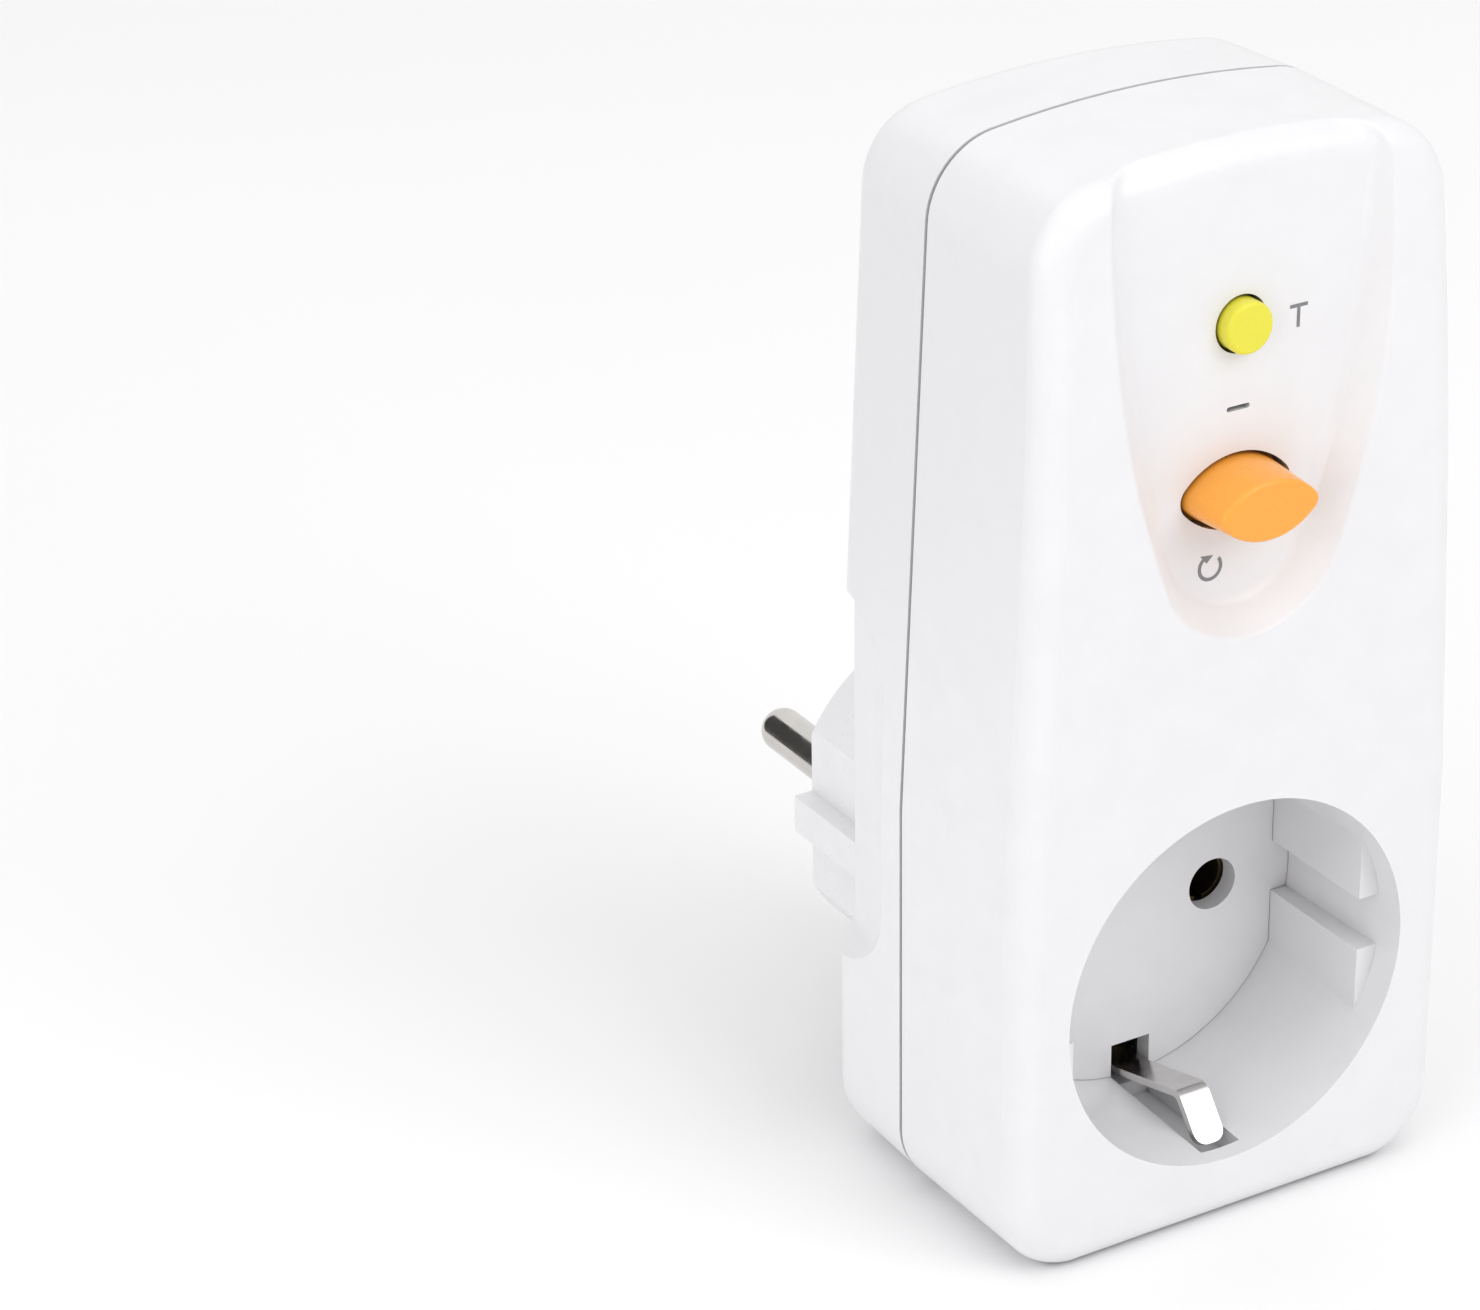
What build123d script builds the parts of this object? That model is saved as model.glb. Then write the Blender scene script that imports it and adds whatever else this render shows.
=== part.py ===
from build123d import *
import math
import os

os.makedirs("parts", exist_ok=True)

# Residual-current adapter: a flat housing that carries a two-pin earthed plug on its back and a
# recessed earthed socket on its front, both on one axis near the lower end, with a test button,
# a reset button and the trip mechanism in the upper half.
#
# Drawing coordinates, in millimetres: X to the right seen from the front, Y is the depth behind
# the front face, Z is the rise above the common axis of socket and plug. When written out, every
# piece is shifted by one vector, so that the origin lies at the middle of the base.

# Housing
rim_to_side = 6.0
side_taper = 3.0
rim_to_base = 7.0
top_above_reset = 34.0
kink_rise = 17.0  # where the straight sides start to taper
top_crown = 2.2  # rise of the arched top above its corners
corner_r = 8.0
seam_depth = 20.0
front_draft = 0.35  # how far the sides draw in from the parting line to the front
rear_draft = 0.45
edge_r = 3.0  # rounding of the front and rear edges
lean_below_reset = 6.8
lean_r = 380.0
wall = 2.2
seam_groove_width = 0.5
seam_groove_depth = 0.6
lip_length = 1.6
lip_thickness = 0.9
lip_gap = 0.15
back_recess_depth = 0.7
back_rim_width = 3.6
cut_over = 6.0  # how far a cutter runs past what it cuts
touch = 0.05  # gap between fixed pieces that seat on each other
clear = 0.3  # gap between moving pieces and their surroundings
run_fit = 0.06  # radial gap of a shaft in its bore

# Finger grips in both sides of the rear cover
grip_behind_seam = 3.4
grip_low = -2.0
grip_high = 33.5
grip_corner_r = 6.0
grip_depth_front = 1.0
grip_depth_rear = 3.6
grip_slope = 48.0  # flare of the grip's walls, in degrees
grip_blend = 2.2

# Control panel recess
panel_half = 16.9
panel_side_r = 115.0
panel_side_below_top = 0.8
panel_tip_below_reset = 13.6
panel_depth = 3.2
panel_slope = 40.0  # flare of the recess walls, in degrees
panel_blend = 1.6
panel_rim_r = 0.5

# Socket
rim_r = 19.5
floor_r = 18.9
well_depth = 17.5
floor_thickness = 2.0
floor_lap = 1.0  # how far the floor plate reaches under the wall of the well
floor_step = 0.6  # how far that rim lies behind the front of the floor
well_wall = 2.5
pin_spacing = 19.0
pin_r = 2.4
pin_hole_r = 2.8
rail_gap_half = 16.8
rail_half_height = 10.0
rail_groove_half = 2.85
rail_front = 3.2

# Earth clips of the socket, at six and twelve o'clock
clip_width = 3.4
clip_thickness = 0.8
clip_floor_rise = 18.2  # distance from the axis where the strip leaves the floor
clip_bend_depth = 7.0
clip_bend_rise = 15.4
clip_tip_depth = 3.5
clip_tip_rise = 19.8
clip_bend_r = 1.2
clip_tip_r = 1.3
clip_slot_half = 2.3
clip_slot_front = 1.9
clip_slot_rise = 21.8
clip_hole_low = 15.1
clip_hole_high = 20.0
clip_pocket_wall = 1.0

# Contact sleeves behind the socket floor
sleeve_wall = 0.8
sleeve_short_of_back = 0.7
sleeve_slit = 0.9
sleeve_slit_length = 9.0

# Plug
plug_r = 18.4
plug_length = 18.5
plug_gap = 0.25
plug_face_thickness = 5.0
plug_wall = 2.2
plug_flange_r = 20.4
plug_flange_half = 19.4
plug_flange_thickness = 2.0
plug_notch_wall = 1.7
plug_edge_r = 0.5
notch_half = 16.0  # distance of the notch floor from the axis
notch_length = 15.5
rib_half = 2.0
rib_top = 18.2
pin_length = 19.0
pin_root_r = 2.1
pin_root_over = 0.5  # how far the thinner root reaches in front of the plug's face
pin_flange_r = 3.5
pin_flange_thickness = 1.8
pin_tail_r = 1.5
pin_tail_length = 3.0
collar_r = 3.6
collar_thickness = 2.0

# Earth strips on the plug
earth_slot_half = 2.15
earth_slot_floor = 16.0
earth_slot_rear = 1.4  # distance of the slot's rear end behind the housing's back
earth_bridge = 2.2  # wall left between the slot and the plug's face
strip_half = 1.8
strip_thickness = 0.8
strip_step = 0.05
strip_bend_r = 0.45
fold_inner = 11.2  # how near the axis the folded end of the lower strip reaches
face_pocket_half = 3.2
face_pocket_low = 10.9
face_pocket_high = 13.2

# Earth pin window in the plug's face
window_half = 6.5
window_low = 2.2
window_high = 15.8
window_depth = 2.0
window_notch_half = 3.3
window_notch_low = 0.5
window_notch_high = 17.2
window_notch_depth = 1.4
bracket_width = 1.4
bracket_leg_end = 2.5
bracket_drop = 0.2
insert_drop = 0.5
insert_floor = 0.4
earth_pin_rise = 10.0
earth_bore_r = 2.45
earth_sleeve_wall = 0.85
earth_sleeve_depth = 15.0

# Case screws
screw_low_inset = 8.1
screw_above_base = 8.0
screw_high_inset = 6.5
screw_below_top = 9.2
screw_hole_r = 2.4
screw_hole_depth = 8.0
screw_head_r = 2.2
screw_head_height = 1.8
screw_r = 1.4
screw_length = 14.0
screw_slot = 0.7
screw_slot_depth = 0.9
boss_wall = 1.3

# Reset button and its flag
reset_above_core = 14.8
reset_half_width = 6.3
reset_half_height = 3.5
reset_tip_r = 1.6
reset_proud = 2.5  # how far its face stands in front of the housing
reset_tip_draft = 0.5  # how far its sides draw in from the flange to the face
reset_edge_r = 0.5
reset_travel = 2.2
reset_flange_thickness = 1.2
reset_flange_over = 1.7
reset_stem_half = 2.4
flag_above_reset = 8.2
flag_slot_half = 1.3
flag_slot_height = 0.5
flag_half = 3.0
flag_below_slot = 1.8
flag_above_slot = 1.4
flag_thickness = 0.7
flag_travel = 2.0
flag_lug_half = 0.9
flag_lug_length = 3.0
flag_guide_wall = 0.9
flag_guide_lip = 0.8

# Test button
test_above_reset = 16.4
test_r = 2.55
test_proud = 1.6  # how far it stands above the recessed panel
test_edge_r = 0.45
test_travel = 1.4
test_flange_r = 4.5
test_flange_thickness = 1.0
test_stem_r = 1.5
test_stem_end = 11.0
test_leaf_half = 1.6
test_leaf_thickness = 0.4
leaf_above_pivot = 0.6
leaf_below_test = 1.4
pivot_above_test = 11.8
test_post_half = 2.4
post_below_pivot = 1.4
post_above_pivot = 1.6
terminal_half = 1.5
terminal_below_test = 1.6
terminal_above_test = 1.4
frame_front = 10.0
frame_sheet = 1.0
frame_half = 14.4
frame_below_reset = 8.8
frame_above_reset = 7.7
frame_neck_half = 5.5
frame_above_test = 4.8
frame_window_half = 2.8
frame_hole_r = 2.0
frame_post_r = 1.6
frame_post_x = 12.4
frame_post_inset = 2.0

# Carriage with its contact bridges
carriage_half = 4.0
carriage_front = 12.0
carriage_rear = 18.9
carriage_half_height = 3.9
crossbar_half = 12.9
crossbar_thickness = 2.4
crossbar_height = 5.0
tooth_half = 0.9
tooth_height = 0.6
guide_pin_r = 1.2
guide_pin_x = 5.6
pole_x = 10.5
pole_half = 1.5
bridge_thickness = 0.8
bridge_half_height = 6.0
contact_spread = 4.0
contact_r = 1.4
contact_height = 1.0
fixed_thickness = 0.8
fixed_plate_end = 7.2
post_half_height = 1.6
post_half = 2.0

# Springs
spring_wire_r = 0.25
opening_spring_r = 2.4
opening_spring_turns = 5
reset_spring_r = 4.1
button_spring_turns = 1.5
test_spring_r = 2.6
plunger_spring_r = 1.15
plunger_spring_turns = 2

# Trip solenoid
coil_x = -7.2
coil_to_board = 8.1
yoke_half = 4.7
yoke_sheet = 1.2
yoke_above_reset = 10.7
yoke_length = 15.0
yoke_ahead_of_coil = 5.0
bobbin_r = 4.5
bobbin_core_r = 2.5
bobbin_flange = 0.8
coil_r = 4.2
plunger_r = 1.5
plunger_below_yoke_top = 2.5
shoulder_above_yoke = 3.8
plunger_nose_r = 0.8
nose_hole_r = 0.9

# Latch lever
lever_x = -2.5
lever_above_reset = 7.4
lever_pin_r = 1.0
lever_hub_r = 2.0
lever_front = 19.0
lever_thickness = 2.0
lever_arm_end = -8.6
lever_arm_height = 1.6
lever_hook_end = 1.6
lever_hook_width = 1.6
lever_pin_over = 1.0

# Differential transformer
core_behind_floor = 1.3
core_above_well = 5.0
core_length = 9.0
core_r = 5.9
core_bore_r = 4.6
winding_r = 7.4
winding_bore_r = 3.4
winding_over = 0.9
winding_gap_half = 2.0
base_half = 6.0
base_above_well = 2.0
base_ahead_of_core = 6.8
base_slot_half = 3.2

# Wires and circuit board
wire_r = 1.1
wire_bend_r = 2.0
wire_pair_x = 1.8
wire_side_x = 6.2
wire_behind_back = 6.3
wire_side_rise = 10.5
wire_to_board = 0.5
wire_cross_below_base = 2.1
wire_above_core = 4.4
wire_end_above_turn = 1.2
load_wire_inset = 8.3
load_wire_above_reset = 8.8
load_wire_low = 21.0
load_wire_turn_rise = 9.0
load_wire_end_rise = 8.4
load_wire_ahead_of_sleeve_end = 1.4
board_behind_winding = 0.4
standoff_length = 1.6
board_thickness = 1.6
board_inset = 10.5
board_above_well = 2.0
board_step_below_screw = 5.2
board_screw_gap = 4.1
board_below_top = 4.3
standoff_r = 1.6
standoff_x = 9.0
standoff_inset = 4.0
capacitor_above_reset = 10.8
capacitor_width = 9.6
capacitor_height = 7.6
capacitor_left = 4.2
capacitor_thickness = 10.0
varistor_x = 7.6
varistor_below_top = 9.6
varistor_r = 4.0
varistor_half = 1.6
chip_x = -11.5
chip_above_board_edge = 11.0
chip_half_width = 2.6
chip_half_height = 4.8
chip_thickness = 1.5
resistor_x = 11.0
resistor_r = 1.0
resistor_half = 3.0
resistor_above_board_edge = 3.5
resistor_pitch = 2.9
resistor_count = 4
diode_r = 0.8
diode_half = 1.8
diode_above_reset = 3.7
diode_pitch = 2.4
diode_count = 2

# Contact carrier
carrier_plate_half = 13.4
carrier_half_height = 7.4
carrier_thickness = 2.0
carrier_tube_wall = 1.2
carrier_short_of_sleeve = 3.0
strap_half = 2.5
strap_half_height = 19.4
strap_behind_floor = 2.4
strap_tab_half = 1.6
strap_tab_past_back = 6.0

# Places worked out from the sizes above
well_outer_r = rim_r + well_wall
floor_back = well_depth + floor_thickness
floor_rim_depth = well_depth + floor_step
core_depth = floor_back + core_behind_floor
board_front = core_depth + winding_r + board_behind_winding
board_back = board_front + board_thickness
body_depth = board_back + standoff_length + wall
wire_rear_depth = board_front - wire_r - wire_to_board
sleeve_end = body_depth - sleeve_short_of_back
carrier_end = sleeve_end - carrier_short_of_sleeve
wire_plug_depth = body_depth + wire_behind_back
strap_front = floor_back + strap_behind_floor
strap_tab_end = body_depth + strap_tab_past_back
grip_front = seam_depth + grip_behind_seam
coil_depth = board_front - coil_to_board
yoke_front = coil_depth - yoke_ahead_of_coil
base_front = core_depth - base_ahead_of_core
body_half = rim_r + rim_to_side
top_half = body_half - side_taper
axis_to_base = rim_r + rim_to_base
core_low = well_outer_r + core_above_well
core_high = core_low + core_length
base_low = well_outer_r + base_above_well
board_low = well_outer_r + board_above_well
wire_cross_rise = base_low - wire_cross_below_base
reset_rise = core_high + reset_above_core
lean_start = reset_rise - lean_below_reset
panel_tip_rise = reset_rise - panel_tip_below_reset
axis_to_top = reset_rise + top_above_reset
panel_side_rise = axis_to_top - panel_side_below_top
flag_rise = reset_rise + flag_above_reset
flag_low = flag_rise - flag_below_slot
flag_high = flag_rise + flag_above_slot
test_rise = reset_rise + test_above_reset
frame_low = reset_rise - frame_below_reset
frame_high = reset_rise + frame_above_reset
frame_neck_high = test_rise + frame_above_test
lever_rise = reset_rise + lever_above_reset
yoke_low = reset_rise + yoke_above_reset
yoke_high = yoke_low + yoke_length
plunger_top = yoke_high - plunger_below_yoke_top
plunger_shoulder = yoke_low + shoulder_above_yoke
test_pivot_rise = test_rise + pivot_above_test
test_leaf_top = test_pivot_rise + leaf_above_pivot
test_leaf_bottom = test_rise - leaf_below_test
test_post_low = test_pivot_rise - post_below_pivot
test_post_high = test_pivot_rise + post_above_pivot
terminal_low = test_rise - terminal_below_test
terminal_high = test_rise + terminal_above_test
wire_top_rise = core_high + wire_above_core
wire_end_low = wire_top_rise + wire_end_above_turn
load_wire_top = reset_rise + load_wire_above_reset
load_wire_x = body_half - load_wire_inset
load_wire_end_depth = sleeve_end - load_wire_ahead_of_sleeve_end
screw_low_x = body_half - screw_low_inset
screw_high_x = top_half - screw_high_inset
screw_high_rise = axis_to_top - screw_below_top
board_half = body_half - board_inset
board_top_half = screw_high_x - board_screw_gap
board_step_rise = screw_high_rise - board_step_below_screw
board_high = axis_to_top - board_below_top
capacitor_low = reset_rise + capacitor_above_reset
varistor_rise = axis_to_top - varistor_below_top
chip_rise = board_low + chip_above_board_edge
resistor_first_rise = board_low + resistor_above_board_edge
diode_first_rise = reset_rise + diode_above_reset
screw_low_rise = screw_above_base - axis_to_base
plug_face = body_depth + plug_length
pin_x = pin_spacing / 2
panel_back = panel_depth + wall
sleeve_r = pin_r + run_fit
sleeve_outer_r = sleeve_r + sleeve_wall
top_side_rise = axis_to_top - top_crown
rear_inside = body_depth - wall
board_seat = board_front - touch
face_inside = plug_face - plug_face_thickness
head_seat = body_depth - screw_hole_depth
screw_tip = head_seat - screw_length
panel_floor_play = panel_back + clear
frame_rear = frame_front + frame_sheet
nose_tip = lever_rise + lever_arm_height / 2 + clear
bridge_front = carriage_rear + touch
bridge_rear = bridge_front + bridge_thickness
moving_contact = bridge_rear + contact_height
fixed_contact = moving_contact + reset_travel + clear
fixed_front = fixed_contact + contact_height
fixed_rear = fixed_front + fixed_thickness
slot_front = body_depth + earth_slot_rear
slot_rear = plug_face - earth_bridge
strip_inner = earth_slot_floor + strip_step
strip_outer = strip_inner + strip_thickness
window_back = plug_face - window_depth
front_y = (reset_proud - plug_face - pin_length) / 2
stand_shift = Vector(0, front_y, axis_to_base)


# Helpers

def facing(depth):
    """Plane at a depth, with its sketch seen from the front: sketch X is X, sketch Y is the rise."""
    return Plane(origin=(0, depth, 0), x_dir=(1, 0, 0), z_dir=(0, -1, 0))


def prism(sketch, near, far):
    """A sketch seen from the front, made solid between two depths."""
    return extrude(facing(far) * sketch, amount=far - near)


def rod(r, near, far, x=0, rise=0):
    """A round bar along the depth."""
    return prism(Pos(x, rise) * Circle(r), near, far)


def tube(outer, inner, near, far, x=0, rise=0):
    """A round tube along the depth."""
    return prism(Pos(x, rise) * (Circle(outer) - Circle(inner)), near, far)


def pillar(r, low, high, x=0, depth=0):
    """A round bar standing upright."""
    return Pos(x, depth, (low + high) / 2) * Cylinder(r, high - low)


def block(x_low, x_high, near, far, low, high):
    """A rectangular block between six planes."""
    place = Pos((x_low + x_high) / 2, (near + far) / 2, (low + high) / 2)
    return place * Box(x_high - x_low, far - near, high - low)


def across(sketch, x_low, x_high):
    """A sketch seen from the side, with its X along the depth, made solid across the width."""
    plane = Plane(origin=(x_low, 0, 0), x_dir=(0, 1, 0), z_dir=(1, 0, 0))
    return extrude(plane * sketch, amount=x_high - x_low)


def both_sides(shape):
    """A shape and its mirror image in the middle plane."""
    return shape + mirror(shape, about=Plane.YZ)


def group(shapes):
    """Several separate solids kept together as one node."""
    return Compound([solid for shape in shapes for solid in shape.solids()])


def coil_spring(radius, length, turns):
    """An open helical spring standing on the origin, its wire inside the two seats."""
    height = length - spring_wire_r * 2
    path = Helix(pitch=height / turns, height=height, radius=radius)
    start = Plane(origin=path @ 0, z_dir=path % 0)
    return Pos(0, 0, spring_wire_r) * sweep(start * Circle(spring_wire_r), path=path)


def spring_behind(radius, near, far, turns, x, rise):
    """A helical spring along the depth between two seats."""
    length = far - near - touch * 2
    return Pos(x, far - touch, rise) * Rot(90, 0, 0) * coil_spring(radius, length, turns)


def soft_path(points, bend):
    """A path along straight lines with every corner rounded to one radius."""
    corners = [Vector(*point) for point in points]
    start, pieces = corners[0], []
    for before, corner, after in zip(corners, corners[1:], corners[2:]):
        back, ahead = (before - corner).normalized(), (after - corner).normalized()
        half_angle = math.radians(back.get_angle(ahead)) / 2
        setback = bend / math.tan(half_angle)
        middle = corner + (back + ahead).normalized() * (bend / math.sin(half_angle) - bend)
        pieces.append(Line(start, corner + back * setback))
        start = corner + ahead * setback
        pieces.append(ThreePointArc(corner + back * setback, middle, start))
    pieces.append(Line(start, corners[-1]))
    return Wire(pieces)


def cable(points):
    """A round wire along a path."""
    path = soft_path(points, wire_bend_r)
    start = Plane(origin=path @ 0, z_dir=path % 0)
    return sweep(start * Circle(wire_r), path=path)


def strip(points, half, thickness, bend):
    """A bent metal strip whose path lies in the middle plane."""
    path = soft_path(points, bend)
    start = Plane(origin=path @ 0, x_dir=(1, 0, 0), z_dir=path % 0)
    return sweep(start * Rectangle(half * 2, thickness), path=path)


# Housing

def housing_outline(inset, base_inset):
    """The housing seen from the front: flat base, straight then tapering sides, arched top."""
    low, top = body_half - inset, top_half - inset
    base, crown = -axis_to_base + base_inset, axis_to_top - inset
    side = top_side_rise - inset
    left = [(-top, side), (-low, kink_rise), (-low, base)]
    right = [(low, base), (low, kink_rise), (top, side)]
    face = make_face(Polyline(*left, *right) + ThreePointArc((top, side), (0, crown), (-top, side)))
    corners = [v for v in face.vertices() if abs(v.Y - kink_rise) > corner_r]
    return fillet(corners, corner_r - inset / 2)


def inner_outline(draft, inset):
    """The housing's outline drawn in by the wall and an inset, and by the draft except at the base."""
    return housing_outline(wall + draft + inset, wall + inset)


def shell_block(near, far, near_inset, far_inset):
    """The outer body between two depths, with drafted sides and a level base."""
    near_face = facing(near) * housing_outline(near_inset, -touch)
    far_face = facing(far) * housing_outline(far_inset, -touch)
    body = loft([near_face.face(), far_face.face()], ruled=True)
    below = -axis_to_base - cut_over
    return body - block(-body_half, body_half, near - cut_over, far + cut_over, below, -axis_to_base)


def leaning_front():
    """The front half of the body: its front is flat below and curves back towards the top."""
    body = shell_block(0, seam_depth, front_draft, 0)
    end_rise = axis_to_top + cut_over
    run = end_rise - lean_start
    end_depth = lean_r - math.sqrt(lean_r**2 - run**2)
    curve = TangentArc((0, lean_start), (end_depth, end_rise), tangent=(0, 1))
    rest = Polyline((end_depth, end_rise), (-cut_over, end_rise), (-cut_over, lean_start), (0, lean_start))
    body -= across(make_face(curve + rest), -body_half - cut_over, body_half + cut_over)
    front_edges = [e for e in body.edges() if e.center().Y < seam_depth / 2 and not is_depthwise(e)]
    outer = [e for e in front_edges if not is_across_lean(e)]
    return fillet(outer, edge_r)


def is_depthwise(edge):
    """True for an edge that runs from front to back."""
    box = edge.bounding_box()
    return box.size.Y > seam_depth / 2


def is_across_lean(edge):
    """True for the line on which the front starts to curve back."""
    box = edge.bounding_box()
    return box.size.Z < touch and abs(edge.center().Z - lean_start) < touch


def panel_outline(inset):
    """The tongue-shaped panel: open at the top, its long sides curving into a round tip."""
    half, side_r = panel_half - inset, panel_side_r - inset
    tip = panel_tip_rise + inset
    run = panel_side_rise - tip
    tip_r = (side_r**2 - (side_r - half) ** 2 - run**2) / (2 * (side_r - run))
    share = side_r / (side_r - tip_r)
    join_x = (half - side_r) * (1 - share)
    join_rise = panel_side_rise + (tip + tip_r - panel_side_rise) * share
    end = axis_to_top + cut_over
    side = RadiusArc((half, panel_side_rise), (join_x, join_rise), side_r)
    other = RadiusArc((-join_x, join_rise), (-half, panel_side_rise), side_r)
    tip_arc = ThreePointArc((join_x, join_rise), (0, tip), (-join_x, join_rise))
    top = Polyline((-half, panel_side_rise), (-half, end), (half, end), (half, panel_side_rise))
    return make_face(side + tip_arc + other + top)


def panel_core():
    """What stays behind the recess floor: flat in front, rounded over into the arched top."""
    front, back = panel_depth, panel_depth + edge_r + clear
    crown = axis_to_top - front_draft * (1 - back / seam_depth) + touch
    side, foot = crown - top_crown, panel_tip_rise - cut_over
    sides = Polyline((-top_half, side), (-top_half, foot), (top_half, foot), (top_half, side))
    arch = ThreePointArc((top_half, side), (0, crown), (-top_half, side))
    core = prism(make_face(sides + arch), front, back + cut_over)
    front_edges = core.edges().group_by(Axis.Y)[0]
    return fillet([front_edges.sort_by(Axis.Z)[-1]], edge_r)


def panel_bowl():
    """The panel recess: sloping walls down to a floor that runs out over the top, with a soft corner."""
    deep = panel_depth + edge_r + clear
    flare = deep * math.tan(math.radians(panel_slope))
    rim, low = facing(0) * panel_outline(0), facing(deep) * panel_outline(flare)
    bowl = loft([rim.face(), low.face()], ruled=True) - panel_core()
    return fillet([edge for edge in bowl.edges() if is_recess_corner(edge)], panel_blend) + panel_mouth()


def panel_mouth():
    """The open space in front of the panel recess."""
    return prism(panel_outline(0), -cut_over, 0)


def is_recess_corner(edge):
    """True for the edges in which the recess walls meet its floor and the rounding at its top."""
    box = edge.bounding_box()
    ahead, behind = box.min.Y > panel_depth - touch, box.min.Y > panel_depth + edge_r
    level = box.min.X < 0 < box.max.X and box.size.Z < top_crown
    above = box.max.Z > axis_to_top + touch
    return ahead and not behind and not level and not above


def is_panel_rim(edge):
    """True for the three edges in which the recess walls meet the front face."""
    place = edge.center()
    side = abs(abs(place.X) - panel_half + panel_depth) < edge_r and kink_rise < place.Z < panel_side_rise
    tip = abs(place.Z - panel_tip_rise) < touch
    return place.Y < panel_depth / 2 and edge.length > corner_r and (side or tip)


def socket_hollow():
    """The well of the socket with its guide rails left standing."""
    hollow = loft([(facing(0) * Circle(rim_r)).face(), (facing(well_depth) * Circle(floor_r)).face()])
    return hollow - both_sides(guide_rail(rail_front, well_depth, 0))


def guide_rail(front, rear, grow):
    """The grooved guide rail on the right side of the well, with all its sides moved out by grow."""
    reach, half, groove = rim_r + touch, rail_half_height + grow, rail_groove_half - grow
    rail = block(rail_gap_half - grow, reach, front, rear, -half, half)
    return rail - block(0, reach + touch, 0, rear, -groove, groove)


def floor_front(front, rear, play):
    """The front of the floor plate, which fills the well between its rails."""
    return rod(floor_r - play, front, rear) - both_sides(guide_rail(front, rear, play))


def clip_slot(side):
    """The slot that lets an earth clip spring outwards; side is 1 above the axis and -1 below."""
    inner = floor_r - clip_thickness * 2
    groove = sorted((side * inner, side * clip_slot_rise))
    hole = sorted((side * clip_hole_low, side * clip_hole_high))
    slot = block(-clip_slot_half, clip_slot_half, clip_slot_front, well_depth, *groove)
    return slot + block(-clip_slot_half, clip_slot_half, well_depth - clear, floor_back + clear, *hole)


def clip_pocket(side):
    """Wall around the outer part of a clip's slot."""
    half = clip_slot_half + clip_pocket_wall
    span = sorted((side * floor_r, side * (clip_slot_rise + clip_pocket_wall)))
    return block(-half, half, wall / 2, floor_back, *span)


def screw_places():
    """Centres of the four case screws."""
    return [
        (-screw_low_x, screw_low_rise),
        (screw_low_x, screw_low_rise),
        (-screw_high_x, screw_high_rise),
        (screw_high_x, screw_high_rise),
    ]


def reset_outline(grow):
    """The eye-shaped outline of the reset button: two arcs with rounded tips."""
    half, height = reset_half_width + grow, reset_half_height + grow
    upper = ThreePointArc((-half, 0), (0, height), (half, 0))
    lower = ThreePointArc((half, 0), (0, -height), (-half, 0))
    eye = make_face(upper + lower)
    return Pos(0, reset_rise) * fillet(eye.vertices(), reset_tip_r + grow)


def front_cover():
    """Front half of the housing with the panel, the socket well and the button openings."""
    cover = leaning_front() - panel_bowl()
    cover = fillet([edge for edge in cover.edges() if is_panel_rim(edge)], panel_rim_r)
    room = prism(inner_outline(front_draft, 0), wall, seam_depth)
    room -= block(-body_half, body_half, 0, panel_back, well_outer_r, axis_to_top)
    room -= rod(well_outer_r, 0, floor_back)
    room -= clip_pocket(1) + clip_pocket(-1)
    for x, rise in screw_places():
        room -= rod(screw_r + boss_wall, 0, seam_depth, x, rise)
    cover -= room
    cover -= socket_hollow()
    cover -= clip_slot(1) + clip_slot(-1)
    cover -= floor_front(well_depth - touch, floor_rim_depth, 0)
    cover -= rod(floor_r + floor_lap + touch, floor_rim_depth - touch, floor_back + touch)
    for x, rise in screw_places():
        cover -= rod(screw_r + touch, screw_tip - clear, seam_depth, x, rise)
    cover -= prism(reset_outline(clear), 0, panel_back + touch)
    cover -= rod(test_r + clear, 0, panel_back + touch, 0, test_rise)
    window = Pos(0, flag_rise) * SlotOverall(flag_slot_half * 2, flag_slot_height)
    cover -= prism(window, 0, panel_back + touch)
    for x, rise in frame_post_places():
        cover += rod(frame_post_r, panel_back - touch, frame_front - touch, x, rise)
    return cover + both_sides(flag_guide())


def socket_floor():
    """The floor plate of the socket with its two pin holes and the slots of the earth clips."""
    plate = rod(floor_r + floor_lap, floor_rim_depth, floor_back)
    plate += floor_front(well_depth, floor_back, touch)
    for x in (-pin_x, pin_x):
        plate -= rod(pin_hole_r, well_depth - touch, floor_back + touch, x)
    return plate - clip_slot(1) - clip_slot(-1)


def flag_guide():
    """The right one of the two rails that hold the indicator flag behind the panel."""
    inner = flag_half + clear
    outer = inner + flag_guide_wall
    rear = panel_floor_play + flag_thickness + clear
    end = flag_high + flag_travel
    rail = block(inner, outer, panel_back - touch, rear + flag_guide_lip, flag_low, end)
    return rail + block(inner - flag_guide_lip - clear, outer, rear, rear + flag_guide_lip, flag_low, end)


def frame_post_places():
    """Centres of the posts that carry the mechanism frame."""
    rises = (frame_low + frame_post_inset, frame_high - frame_post_inset)
    return [(side * frame_post_x, rise) for side in (-1, 1) for rise in rises]


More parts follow.
